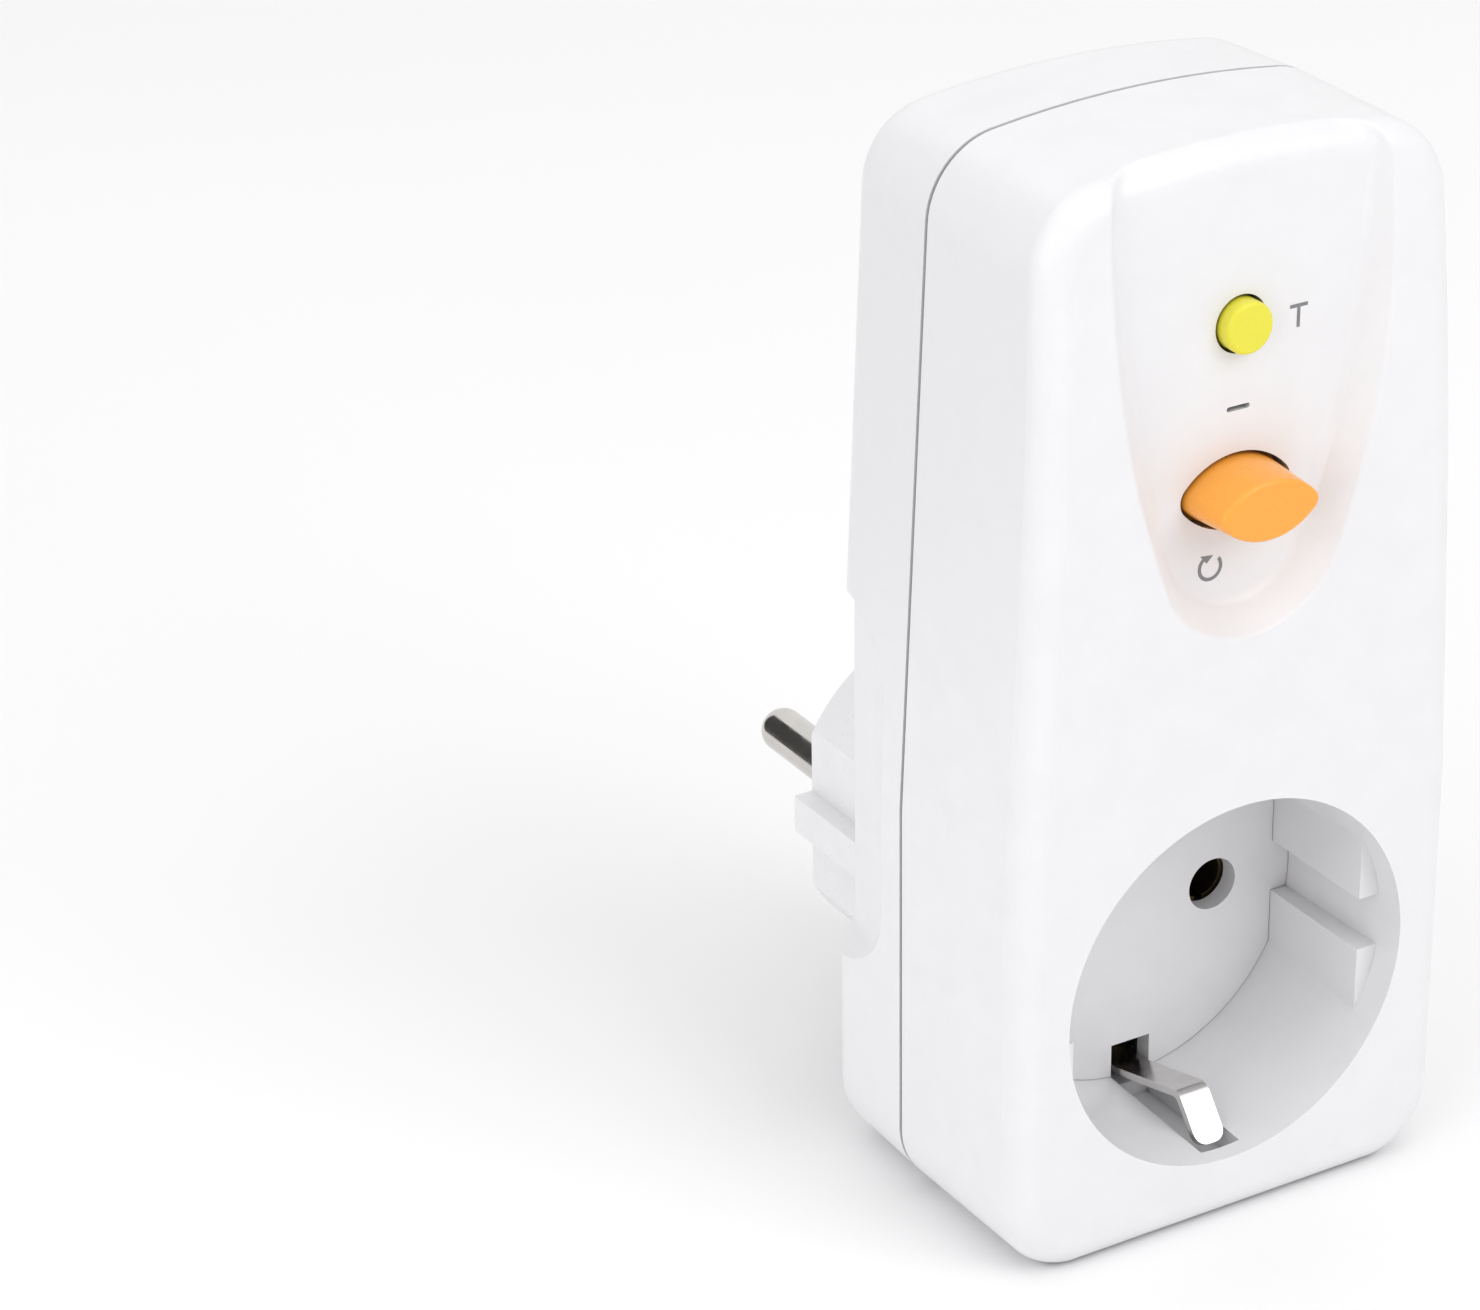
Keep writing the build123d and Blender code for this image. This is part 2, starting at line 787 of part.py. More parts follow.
def grip_cutter(grow):
    """Finger grip at the right side: a flared pocket whose floor slopes inwards towards the back."""
    length = body_depth + cut_over - grip_front
    slope = math.degrees(math.atan2(grip_depth_rear - grip_depth_front, body_depth - grip_front))
    depth = grip_depth_rear + cut_over / 2
    flare = depth * math.tan(math.radians(grip_slope))
    lift = grip_depth_front * math.tan(math.radians(grip_slope))
    height = grip_high - grip_low
    corner = grip_corner_r + grow
    floor = RectangleRounded(length * 2, height + grow * 2, corner)
    mouth = RectangleRounded((length + flare) * 2, height + (grow + flare) * 2, corner + flare)
    plane = Plane(origin=(0, 0, 0), x_dir=(0, 1, 0), z_dir=(1, 0, 0))
    pocket = loft([(plane * floor).face(), (plane.offset(depth) * mouth).face()], ruled=True)
    pocket = fillet(pocket.edges().group_by(Axis.X)[0], grip_blend)
    place = Pos(body_half - grip_depth_front - grow, grip_front + lift + length - grow, 0)
    middle = Pos(0, 0, (grip_high + grip_low) / 2)
    return middle * place * Pos(0, -length, 0) * Rot(0, 0, slope) * Pos(0, length, 0) * pocket


def seam_line():
    """The shallow groove along the parting line, on the side of the rear cover."""
    end = seam_depth + seam_groove_width
    whole = prism(housing_outline(-cut_over, -cut_over), seam_depth, end)
    return whole - prism(housing_outline(seam_groove_depth, seam_groove_depth), seam_depth, end)


def rear_cover():
    """Rear half of the housing, closed by the recessed back with its raised rim."""
    body = shell_block(seam_depth, body_depth, 0, rear_draft)
    body = fillet(body.edges().group_by(Axis.Y)[-1], edge_r)
    room = prism(inner_outline(rear_draft, 0), seam_depth, rear_inside)
    cover = body - room
    backing = grip_cutter(wall) & body
    cover += both_sides(backing)
    rim_inner = housing_outline(back_rim_width + rear_draft, back_rim_width)
    recess = prism(rim_inner, body_depth - back_recess_depth, body_depth + cut_over)
    recess -= both_sides(grip_cutter(back_rim_width - edge_r / 2))
    cover -= recess
    cover -= both_sides(grip_cutter(0))
    cover -= seam_line()
    lip = prism(inner_outline(front_draft, lip_gap), seam_depth - lip_length, seam_depth + lip_length)
    lip -= prism(inner_outline(front_draft, lip_gap + lip_thickness), 0, body_depth)
    cover += lip - rod(well_outer_r + lip_gap, 0, seam_depth)
    for x, rise in screw_places():
        cover += rod(screw_hole_r + boss_wall, seam_depth + touch, body_depth - wall / 2, x, rise)
        cover -= rod(screw_hole_r, head_seat, body_depth + cut_over, x, rise)
        cover -= rod(screw_r + touch, seam_depth - lip_length, head_seat, x, rise)
    for x, rise in standoff_places():
        cover += rod(standoff_r, board_back + touch, rear_inside + touch, x, rise)
    return cover - rod(plug_r + plug_gap, seam_depth, body_depth + cut_over)


def standoff_places():
    """Centres of the posts that carry the circuit board."""
    rises = (board_low + standoff_inset, board_high - standoff_inset)
    return [(side * standoff_x, rise) for side in (-1, 1) for rise in rises]


def case_screws():
    """The four screws that join the covers, sunk in the holes of the back."""
    screw = rod(screw_r, screw_tip, head_seat + touch)
    screw += rod(screw_head_r, head_seat + touch, head_seat + touch + screw_head_height)
    top = head_seat + touch + screw_head_height
    slot = block(-screw_head_r, screw_head_r, top - screw_slot_depth, top, -screw_slot / 2, screw_slot / 2)
    cross = Rot(0, 90, 0) * slot
    reach = rod(screw_head_r - screw_slot, 0, body_depth)
    screw -= (slot + cross) & reach
    return group([Pos(x, 0, rise) * screw for x, rise in screw_places()])


# Plug

def plug_body():
    """The round plug with side notches and ribs, earth slots, face pockets and an inner flange."""
    flange_front = rear_inside - touch - plug_flange_thickness
    body = rod(plug_r, flange_front, plug_face)
    body = fillet(body.edges().group_by(Axis.Y)[-1], plug_edge_r)
    flange = rod(plug_flange_r, flange_front, rear_inside - touch)
    flange &= block(-plug_flange_half, plug_flange_half, 0, body_depth, -plug_flange_r, plug_flange_r)
    body += flange
    room = rod(plug_r - plug_wall, flange_front, face_inside)
    inner = notch_half - plug_notch_wall
    body -= room & block(-inner, inner, 0, plug_face, -inner, inner)
    notch_front = plug_face - notch_length
    notch = block(notch_half, plug_r + cut_over, notch_front, plug_face + cut_over, -plug_r, plug_r)
    notch -= block(0, rib_top, 0, plug_face + cut_over, -rib_half, rib_half)
    body -= both_sides(notch)
    for side in (-1, 1):
        body -= earth_channel(side)
    for x in (-pin_x, pin_x):
        body -= rod(pin_root_r + touch, 0, plug_face + cut_over, x)
        body -= rod(collar_r + touch, plug_face - collar_thickness, plug_face + cut_over, x)
    return body - face_openings()


def earth_channel(side):
    """The side slot of an earth strip and the slit through which the strip enters the plug."""
    span = sorted((side * earth_slot_floor, side * (plug_r + cut_over)))
    channel = block(-earth_slot_half, earth_slot_half, slot_front, slot_rear, *span)
    slit_half = strip_half + touch
    slit = sorted((side * earth_slot_floor, side * (strip_outer + touch)))
    return channel + block(-slit_half, slit_half, 0, slot_front + touch, *slit)


def face_openings():
    """The pocket of the folded strip below the middle, the earth window above it and its bore."""
    deep = slot_rear - strip_thickness - touch * 2
    low, high = -face_pocket_high, -face_pocket_low
    cut = block(-face_pocket_half, face_pocket_half, deep, plug_face + cut_over, low, high)
    cut += block(-strip_half - touch, strip_half + touch, deep, slot_rear, -earth_slot_floor - touch, high)
    cut += block(-window_half, window_half, window_back, plug_face + cut_over, window_low, window_high)
    notch_floor = plug_face - window_notch_depth
    notch_half_width = window_notch_half
    notch_span = (window_notch_low, window_notch_high)
    cut += block(-notch_half_width, notch_half_width, notch_floor, plug_face + cut_over, *notch_span)
    return cut + rod(earth_bore_r + earth_sleeve_wall + touch, 0, plug_face, 0, earth_pin_rise)


def plug_pin(x):
    """A plug pin with a round tip, a flange behind the face and a tail for its wire."""
    tip = plug_face + pin_length
    root_end = plug_face + pin_root_over
    pin = rod(pin_r, root_end, tip - pin_r, x) + rod(pin_root_r, face_inside - touch, root_end, x)
    pin += Pos(x, tip - pin_r, 0) * Sphere(pin_r)
    flange_front = face_inside - touch - pin_flange_thickness
    pin += rod(pin_flange_r, flange_front, face_inside - touch, x)
    return pin + rod(pin_tail_r, flange_front - pin_tail_length, flange_front, x)


def live_pin():
    """The plug pin on the right, seen from the front."""
    return plug_pin(pin_x)


def neutral_pin():
    """The plug pin on the left, seen from the front."""
    return plug_pin(-pin_x)


def pin_collars():
    """The two collars let into the plug's face around the pins."""
    near = plug_face - collar_thickness + touch
    return group([tube(collar_r, pin_root_r + touch, near, plug_face, x) for x in (-pin_x, pin_x)])


def plug_earth_strip(side, folded):
    """An earth strip in its side slot; the lower one folds inwards behind the plug's face."""
    near = strap_front + strip_thickness + touch
    far = slot_rear - touch - strip_thickness / 2
    middle = side * (strip_inner + strip_thickness / 2)
    points = [(0, near, middle), (0, far, middle)]
    if folded:
        points.append((0, far, side * fold_inner))
    return strip(points, strip_half, strip_thickness, strip_bend_r)


def upper_plug_earth_strip():
    """The earth strip in the upper side slot of the plug."""
    return plug_earth_strip(1, False)


def lower_plug_earth_strip():
    """The earth strip in the lower side slot of the plug, seen again in the face pocket."""
    return plug_earth_strip(-1, True)


def bracket_outline(grow):
    """The right one of two C-shaped brackets, seen from the front."""
    width = bracket_width / 2 + grow
    outer, low, high = window_half - touch * 2, window_low + touch * 2, window_high - touch * 2
    middle_rise, half_rise = (low + high) / 2, (high - low) / 2
    frame = Pos(0, middle_rise) * Rectangle((outer + grow) * 2, (half_rise + grow) * 2)
    hollow_half, hollow_rise = outer - bracket_width - grow, half_rise - bracket_width - grow
    frame -= Pos(0, middle_rise) * Rectangle(hollow_half * 2, hollow_rise * 2)
    frame -= Pos(0, middle_rise) * Rectangle((bracket_leg_end - grow) * 2, (half_rise + width) * 4)
    return frame


def earth_bracket():
    """The two dark brackets beside the earth hole in the plug's face."""
    return prism(bracket_outline(0), window_back + insert_floor + touch, plug_face - bracket_drop)


def earth_socket_insert():
    """The white inset of the earth window, grooved for the brackets and bored for the earth pin."""
    half = window_half - touch
    far = plug_face - insert_drop
    low, high = window_low + touch, window_high - touch
    insert = block(-half, half, window_back + touch, far, low, high)
    insert -= prism(bracket_outline(touch), window_back + insert_floor, plug_face)
    return insert - rod(earth_bore_r + touch, 0, plug_face, 0, earth_pin_rise)


def earth_pin_sleeve():
    """The metal sleeve behind the earth hole of the plug."""
    outer = earth_bore_r + earth_sleeve_wall
    return tube(outer, earth_bore_r, window_back - earth_sleeve_depth, window_back, 0, earth_pin_rise)


# Socket contacts

def contact_carrier():
    """The moulded block behind the socket floor that holds the two contact sleeves."""
    near, back = floor_back + touch, floor_back + touch + carrier_thickness
    half, height = carrier_plate_half, carrier_half_height
    carrier = block(-half, half, near, back, -height, height)
    inner = sleeve_outer_r + touch
    for x in (-pin_x, pin_x):
        carrier += rod(inner + carrier_tube_wall, near, carrier_end, x)
        carrier -= rod(inner, near - touch, carrier_end, x)
    return carrier


def contact_sleeve(x):
    """A slit contact sleeve behind one of the socket's pin holes."""
    near = floor_back + clear
    sleeve = tube(sleeve_outer_r, sleeve_r, near, sleeve_end, x)
    half = sleeve_slit / 2
    slit_end = near + sleeve_slit_length
    return sleeve - block(x - half, x + half, near, slit_end, -sleeve_outer_r, sleeve_outer_r)


def left_contact_sleeve():
    """The contact sleeve on the left, seen from the front."""
    return contact_sleeve(-pin_x)


def right_contact_sleeve():
    """The contact sleeve on the right, seen from the front."""
    return contact_sleeve(pin_x)


def earth_clip(side):
    """A sprung earth contact: up from behind the floor, a bend towards the axis, a turned-out tip."""
    rear = strap_front - clear
    points = [(rear, clip_floor_rise), (well_depth, clip_floor_rise)]
    points += [(clip_bend_depth, clip_bend_rise), (clip_tip_depth, clip_tip_rise)]
    path = [(0, depth, side * rise) for depth, rise in points]
    clip = strip(path, clip_width / 2, clip_thickness, clip_bend_r)
    tip = [edge for edge in clip.edges() if is_clip_tip(edge)]
    return fillet(tip, clip_tip_r)


def is_clip_tip(edge):
    """True for the two short corners at the free end of a clip."""
    place = edge.center()
    at_side = abs(abs(place.X) - clip_width / 2) < touch
    return at_side and place.Y < clip_tip_depth + clip_thickness


def upper_earth_clip():
    """The earth clip at twelve o'clock of the socket."""
    return earth_clip(1)


def lower_earth_clip():
    """The earth clip at six o'clock of the socket."""
    return earth_clip(-1)


def earth_strap():
    """The strap that joins both earth clips, both plug earth strips and the earth sleeve."""
    back = strap_front + strip_thickness
    strap = block(-strap_half, strap_half, strap_front, back, -strap_half_height, strap_half_height)
    low = earth_pin_rise + earth_bore_r + earth_sleeve_wall + touch
    return strap + block(-strap_tab_half, strap_tab_half, back, strap_tab_end, low, low + strip_thickness)


# Buttons

def reset_button():
    """The eye-shaped reset button with its flange behind the panel and its stem."""
    body_front = panel_floor_play
    draft = math.degrees(math.atan(reset_tip_draft / (body_front + reset_proud)))
    body = extrude(facing(body_front) * reset_outline(0), amount=body_front + reset_proud, taper=draft)
    body = fillet(body.edges().group_by(Axis.Y)[0], reset_edge_r)
    flange_back = body_front + reset_flange_thickness
    body += prism(reset_outline(reset_flange_over), body_front, flange_back)
    half = reset_stem_half
    low, high = reset_rise - half, reset_rise + half
    return body + block(-half, half, flange_back, carriage_front - touch, low, high)


def test_button():
    """The round test button with its flange behind the panel and its stem."""
    cap = rod(test_r, panel_depth - test_proud, panel_floor_play, 0, test_rise)
    cap = fillet(cap.edges().group_by(Axis.Y)[0], test_edge_r)
    flange_back = panel_floor_play + test_flange_thickness
    cap += rod(test_flange_r, panel_floor_play, flange_back, 0, test_rise)
    return cap + rod(test_stem_r, flange_back, test_stem_end, 0, test_rise)


def reset_spring():
    """The return spring around the stem of the reset button."""
    near = panel_floor_play + reset_flange_thickness
    return spring_behind(reset_spring_r, near, frame_front, button_spring_turns, 0, reset_rise)


def test_spring():
    """The return spring around the stem of the test button."""
    near = panel_floor_play + test_flange_thickness
    return spring_behind(test_spring_r, near, frame_front, button_spring_turns, 0, test_rise)


def indicator_flag():
    """The flag behind the slot between the buttons, with a lug for the carriage."""
    rear = panel_floor_play + flag_thickness
    flag = block(-flag_half, flag_half, panel_floor_play, rear, flag_low, flag_high)
    lug_high = flag_low + flag_lug_half * 2
    return flag + block(-flag_lug_half, flag_lug_half, rear, rear + flag_lug_length, flag_low, lug_high)


# Mechanism

def mechanism_frame():
    """The sheet frame behind the panel, with openings for both button stems."""
    sheet = Pos(0, (frame_low + frame_high) / 2) * Rectangle(frame_half * 2, frame_high - frame_low)
    neck_height = frame_neck_high - frame_low
    sheet += Pos(0, frame_low + neck_height / 2) * Rectangle(frame_neck_half * 2, neck_height)
    sheet -= Pos(0, reset_rise) * Rectangle(frame_window_half * 2, frame_window_half * 2)
    sheet -= Pos(0, test_rise) * Circle(frame_hole_r)
    return prism(sheet, frame_front, frame_rear)


def guide_pins():
    """The two pins on which the carriage slides."""
    return group([rod(guide_pin_r, frame_rear + touch, board_seat, x, reset_rise) for x in guide_places()])


def guide_places():
    """Distances of the two guide pins from the middle plane."""
    return (-guide_pin_x, guide_pin_x)


def latch_carriage():
    """The sliding carriage with its crossbar and the tooth on its top."""
    low, high = reset_rise - carriage_half_height, reset_rise + carriage_half_height
    body = block(-carriage_half, carriage_half, carriage_front, carriage_rear, low, high)
    bar_low, bar_high = reset_rise - crossbar_height / 2, reset_rise + crossbar_height / 2
    bar_front = carriage_rear - crossbar_thickness
    body += block(-crossbar_half, crossbar_half, bar_front, carriage_rear, bar_low, bar_high)
    tooth_front = carriage_rear - tooth_half * 2
    body += block(-tooth_half, tooth_half, tooth_front, carriage_rear, high, high + tooth_height)
    for x in guide_places():
        body -= rod(guide_pin_r + run_fit, 0, carriage_rear + touch, x, reset_rise)
    return body


def opening_springs():
    """The two springs around the guide pins that push the carriage forwards."""
    near = carriage_rear
    turns = opening_spring_turns
    ends = (near, board_front)
    return group([spring_behind(opening_spring_r, *ends, turns, x, reset_rise) for x in guide_places()])


def contact_bridges():
    """The two bridges on the crossbar, each with two contact tips."""
    low, high = reset_rise - bridge_half_height, reset_rise + bridge_half_height
    bridge = block(-pole_half, pole_half, bridge_front, bridge_rear, low, high)
    for side in (-1, 1):
        bridge += rod(contact_r, bridge_rear, moving_contact, 0, reset_rise + side * contact_spread)
    return group([Pos(x, 0, 0) * bridge for x in (-pole_x, pole_x)])


def contact_places():
    """Centres of the four fixed contacts."""
    return [(x, side) for x in (-pole_x, pole_x) for side in (-1, 1)]


def fixed_contacts():
    """The four fixed contacts: a tip on a plate that runs outwards to its wire."""
    plates = []
    for x, side in contact_places():
        inner, outer = side * (contact_spread - pole_half), side * fixed_plate_end
        span = sorted((reset_rise + inner, reset_rise + outer))
        plate = block(x - pole_half, x + pole_half, fixed_front, fixed_rear, *span)
        tip = rod(contact_r, fixed_contact, fixed_front, x, reset_rise + side * contact_spread)
        plates.append(plate + tip)
    return group(plates)


def contact_posts():
    """The four posts on the circuit board that carry the fixed contacts."""
    posts = []
    for x, side in contact_places():
        middle = reset_rise + side * contact_spread
        low, high = middle - post_half_height, middle + post_half_height
        posts.append(block(x - post_half, x + post_half, fixed_rear + touch, board_seat, low, high))
    return group(posts)


def latch_lever():
    """The latch lever: a hub, an arm under the plunger and a hook over the carriage."""
    far = lever_front + lever_thickness
    low, high = lever_rise - lever_arm_height / 2, lever_rise + lever_arm_height / 2
    lever = rod(lever_hub_r, lever_front, far, lever_x, lever_rise)
    lever += block(lever_arm_end, lever_hook_end, lever_front, far, low, high)
    hook_low = reset_rise + carriage_half_height + tooth_height + clear
    lever += block(lever_hook_end - lever_hook_width, lever_hook_end, lever_front, far, hook_low, high)
    return lever - rod(lever_pin_r + run_fit, 0, far + touch, lever_x, lever_rise)


def lever_pin():
    """The pin in the frame on which the latch lever turns."""
    far = lever_front + lever_thickness + lever_pin_over
    return rod(lever_pin_r, frame_rear + touch, far, lever_x, lever_rise)


def trip_yoke():
    """The U-shaped iron yoke of the trip coil, standing on the circuit board."""
    left, right = coil_x - yoke_half, coil_x + yoke_half
    yoke = block(left, right, yoke_front, board_seat, yoke_low, yoke_high)
    low, high = yoke_low + yoke_sheet, yoke_high - yoke_sheet
    yoke -= block(left - touch, right + touch, yoke_front - touch, board_seat - yoke_sheet, low, high)
    return yoke - pillar(nose_hole_r, yoke_low - touch, low + touch, coil_x, coil_depth)


def trip_bobbin():
    """The bobbin of the trip coil."""
    low, high = yoke_low + yoke_sheet + touch, yoke_high - yoke_sheet - touch
    bobbin = pillar(bobbin_core_r, low, high, coil_x, coil_depth)
    bobbin += pillar(bobbin_r, low, low + bobbin_flange, coil_x, coil_depth)
    bobbin += pillar(bobbin_r, high - bobbin_flange, high, coil_x, coil_depth)
    return bobbin - pillar(plunger_r + run_fit, low - touch, high + touch, coil_x, coil_depth)


def trip_winding():
    """The winding of the trip coil."""
    low = yoke_low + yoke_sheet + bobbin_flange + touch * 2
    high = yoke_high - yoke_sheet - bobbin_flange - touch * 2
    outer = pillar(coil_r, low, high, coil_x, coil_depth)
    return outer - pillar(bobbin_core_r + touch, low - touch, high + touch, coil_x, coil_depth)


def trip_plunger():
    """The plunger of the trip coil with the nose that pushes the latch lever."""
    body = pillar(plunger_r, plunger_shoulder, plunger_top, coil_x, coil_depth)
    return body + pillar(plunger_nose_r, nose_tip, plunger_shoulder, coil_x, coil_depth)


def plunger_spring():
    """The return spring around the nose of the plunger."""
    low = yoke_low + yoke_sheet + touch
    length = plunger_shoulder - touch - low
    return Pos(coil_x, coil_depth, low) * coil_spring(plunger_spring_r, length, plunger_spring_turns)


# Transformer and wires

def transformer_core():
    """The ring core of the differential transformer."""
    ring = pillar(core_r, core_low, core_high, 0, core_depth)
    return ring - pillar(core_bore_r, core_low - touch, core_high + touch, 0, core_depth)


def transformer_winding():
    """The winding around the ring core, open at the front where the core shows."""
    low, high = core_low - winding_over, core_high + winding_over
    ring = pillar(winding_r, low, high, 0, core_depth)
    ring -= pillar(winding_bore_r, low - touch, high + touch, 0, core_depth)
    hollow = pillar(core_r + touch, core_low - touch, core_high + touch, 0, core_depth)
    hollow -= pillar(core_bore_r - touch, core_low - touch, core_high + touch, 0, core_depth)
    gap = block(-winding_gap_half, winding_gap_half, 0, core_depth, low - touch, high + touch)
    return ring - hollow - gap


def transformer_base():
    """The plate on the circuit board that carries the transformer."""
    high = core_low - winding_over - touch
    base = block(-base_half, base_half, base_front, board_seat, base_low, high)
    slot = block(-base_slot_half, base_slot_half, base_front - touch, core_depth, base_low, high)
    return base - slot - pillar(base_slot_half, base_low - touch, high + touch, 0, core_depth)


def line_wires():
    """The two wires from the plug pins through the transformer to the lower fixed contacts."""
    behind_plate = fixed_rear + touch + wire_r
    tail = face_inside - touch - pin_flange_thickness - pin_tail_length - touch
    end = reset_rise - contact_spread - post_half_height - touch
    path = [
        (pin_x, tail, 0),
        (pin_x, wire_plug_depth, 0),
        (wire_side_x, wire_plug_depth, wire_side_rise),
        (wire_side_x, wire_rear_depth, wire_side_rise),
        (wire_pair_x, wire_rear_depth, wire_cross_rise),
        (wire_pair_x, core_depth, wire_cross_rise),
        (wire_pair_x, core_depth, wire_top_rise),
        (pole_x, behind_plate, wire_end_low - wire_r),
        (pole_x, behind_plate, end),
    ]
    wire = cable(path)
    return group([wire, mirror(wire, about=Plane.YZ)])


def load_wires():
    """The two wires from the upper fixed contacts down to the contact sleeves of the socket."""
    behind_plate = fixed_rear + touch + wire_r
    start = reset_rise + contact_spread + post_half_height + touch
    path = [
        (pole_x, behind_plate, start),
        (pole_x, behind_plate, load_wire_top),
        (load_wire_x, behind_plate, load_wire_top),
        (load_wire_x, behind_plate, load_wire_low),
        (pin_x, behind_plate, load_wire_turn_rise),
        (pin_x, load_wire_end_depth, load_wire_end_rise),
        (pin_x, load_wire_end_depth, sleeve_outer_r + touch),
    ]
    wire = cable(path)
    return group([wire, mirror(wire, about=Plane.YZ)])


# Test contact

def test_leaf():
    """The springy leaf that the test button bends against its terminal."""
    near = test_stem_end + clear
    half, far = test_leaf_half, near + test_leaf_thickness
    return block(-half, half, near, far, test_leaf_bottom, test_leaf_top)


def test_post():
    """The post on the circuit board that carries the test leaf."""
    near = test_stem_end + clear * 2 + test_leaf_thickness
    return block(-test_post_half, test_post_half, near, board_seat, test_post_low, test_post_high)


def test_terminal():
    """The fixed terminal that the bent test leaf touches."""
    swing = test_travel * (test_pivot_rise - test_leaf_bottom) / (test_pivot_rise - test_rise)
    near = test_stem_end + clear * 2 + test_leaf_thickness + swing
    return block(-terminal_half, terminal_half, near, board_seat, terminal_low, terminal_high)


# Circuit board

def circuit_board():
    """The circuit board in the upper part of the housing, narrower between the top screws."""
    low, step, high = board_low, board_step_rise, board_high
    board = Pos(0, (low + step) / 2) * Rectangle(board_half * 2, step - low)
    top = Pos(0, (low + high) / 2) * Rectangle(board_top_half * 2, high - low)
    return prism(board + top, board_front, board_back)


def capacitor():
    """The boxed capacitor on the circuit board."""
    right, high = capacitor_left + capacitor_width, capacitor_low + capacitor_height
    body = block(capacitor_left, right, board_seat - capacitor_thickness, board_seat, capacitor_low, high)
    return fillet(body.edges().group_by(Axis.Y)[0], screw_slot)


def varistor():
    """The disc-shaped varistor on the circuit board."""
    return rod(varistor_r, board_seat - varistor_half * 2, board_seat, varistor_x, varistor_rise)


def control_chip():
    """The control chip on the circuit board."""
    left, right = chip_x - chip_half_width, chip_x + chip_half_width
    low, high = chip_rise - chip_half_height, chip_rise + chip_half_height
    return block(left, right, board_seat - chip_thickness, board_seat, low, high)


def lying_row(r, half, first, pitch, count, x):
    """A row of round parts lying across the circuit board, one above the other."""
    depth = board_seat - r
    piece = Rot(0, 90, 0) * Cylinder(r, half * 2)
    return group([Pos(x, depth, first + pitch * index) * piece for index in range(count)])


def resistors():
    """The resistors on the circuit board."""
    first = resistor_first_rise
    return lying_row(resistor_r, resistor_half, first, resistor_pitch, resistor_count, resistor_x)


def diodes():
    """The diodes on the circuit board."""
    return lying_row(diode_r, diode_half, diode_first_rise, diode_pitch, diode_count, 0)


PIECES = (
    front_cover,
    socket_floor,
    rear_cover,
    case_screws,
    plug_body,
    live_pin,
    neutral_pin,
    pin_collars,
    upper_plug_earth_strip,
    lower_plug_earth_strip,
    earth_bracket,
    earth_socket_insert,
    earth_pin_sleeve,
    contact_carrier,
    left_contact_sleeve,
    right_contact_sleeve,
    upper_earth_clip,
    lower_earth_clip,
    earth_strap,
    reset_button,
    test_button,
    reset_spring,
    test_spring,
    indicator_flag,
    mechanism_frame,
    guide_pins,
    latch_carriage,
    opening_springs,
    contact_bridges,
    fixed_contacts,
    contact_posts,
    latch_lever,
    lever_pin,
    trip_yoke,
    trip_bobbin,
    trip_winding,
    trip_plunger,
    plunger_spring,
    transformer_core,
    transformer_winding,
    transformer_base,
    line_wires,
    load_wires,
    test_leaf,
    test_post,
    test_terminal,
    circuit_board,
    capacitor,
    varistor,
    control_chip,
    resistors,
    diodes,
)

for make in PIECES:
    piece = Pos(stand_shift) * make()
    export_step(piece, f"parts/{make.__name__}.step")
    print(make.__name__, len(piece.solids()), round(piece.volume, 1))
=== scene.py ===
import math

import bpy
import numpy as np
from mathutils import Matrix, Vector


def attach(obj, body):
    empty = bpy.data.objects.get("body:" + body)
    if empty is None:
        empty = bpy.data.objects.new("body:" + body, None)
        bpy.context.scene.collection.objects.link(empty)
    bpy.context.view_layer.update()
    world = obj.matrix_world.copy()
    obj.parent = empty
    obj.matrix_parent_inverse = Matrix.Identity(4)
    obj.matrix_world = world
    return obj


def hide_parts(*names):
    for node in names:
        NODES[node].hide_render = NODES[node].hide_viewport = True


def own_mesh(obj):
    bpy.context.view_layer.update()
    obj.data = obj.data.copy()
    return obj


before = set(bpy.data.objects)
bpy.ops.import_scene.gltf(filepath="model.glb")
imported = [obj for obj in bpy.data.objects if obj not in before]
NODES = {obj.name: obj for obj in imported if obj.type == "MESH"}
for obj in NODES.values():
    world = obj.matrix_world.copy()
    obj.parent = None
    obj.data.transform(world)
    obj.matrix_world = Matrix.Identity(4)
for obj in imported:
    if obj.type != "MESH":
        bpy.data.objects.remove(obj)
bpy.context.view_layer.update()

# Drawing coordinates of the part, in millimetres: X right, Y behind the front face, Z above the socket's axis.
FRONT_Y = -34.5
AXIS_RISE = 26.5
PANEL_DEPTH = 3.2
INK_LIFT = 0.02


def place(x, depth, rise):
    """A point of the drawing in the row frame, in metres."""
    return Vector((x, depth + FRONT_Y, rise + AXIS_RISE)) / 1000


# Meshes


def add_object(name, data):
    """A new object in the scene, at the origin and unturned."""
    item = bpy.data.objects.new(name, data)
    bpy.context.scene.collection.objects.link(item)
    return item


def mesh_piece(name, points, faces, material):
    """A smooth mesh on the housing, from an array of points in metres and lists of corners."""
    mesh = bpy.data.meshes.new(name)
    mesh.from_pydata(points.tolist(), [], faces)
    mesh.validate()
    mesh.polygons.foreach_set("use_smooth", np.ones(len(mesh.polygons), bool))
    mesh.materials.append(material)
    piece = add_object(name, mesh)
    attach(piece, "housing")
    return piece


def staged_quad(name, corners, material):
    """A four-cornered sheet of the studio."""
    mesh = bpy.data.meshes.new(name)
    mesh.from_pydata(corners, [], [(0, 1, 2, 3)])
    mesh.materials.append(material)
    sheet = add_object(name, mesh)
    return sheet


# Node groups and materials


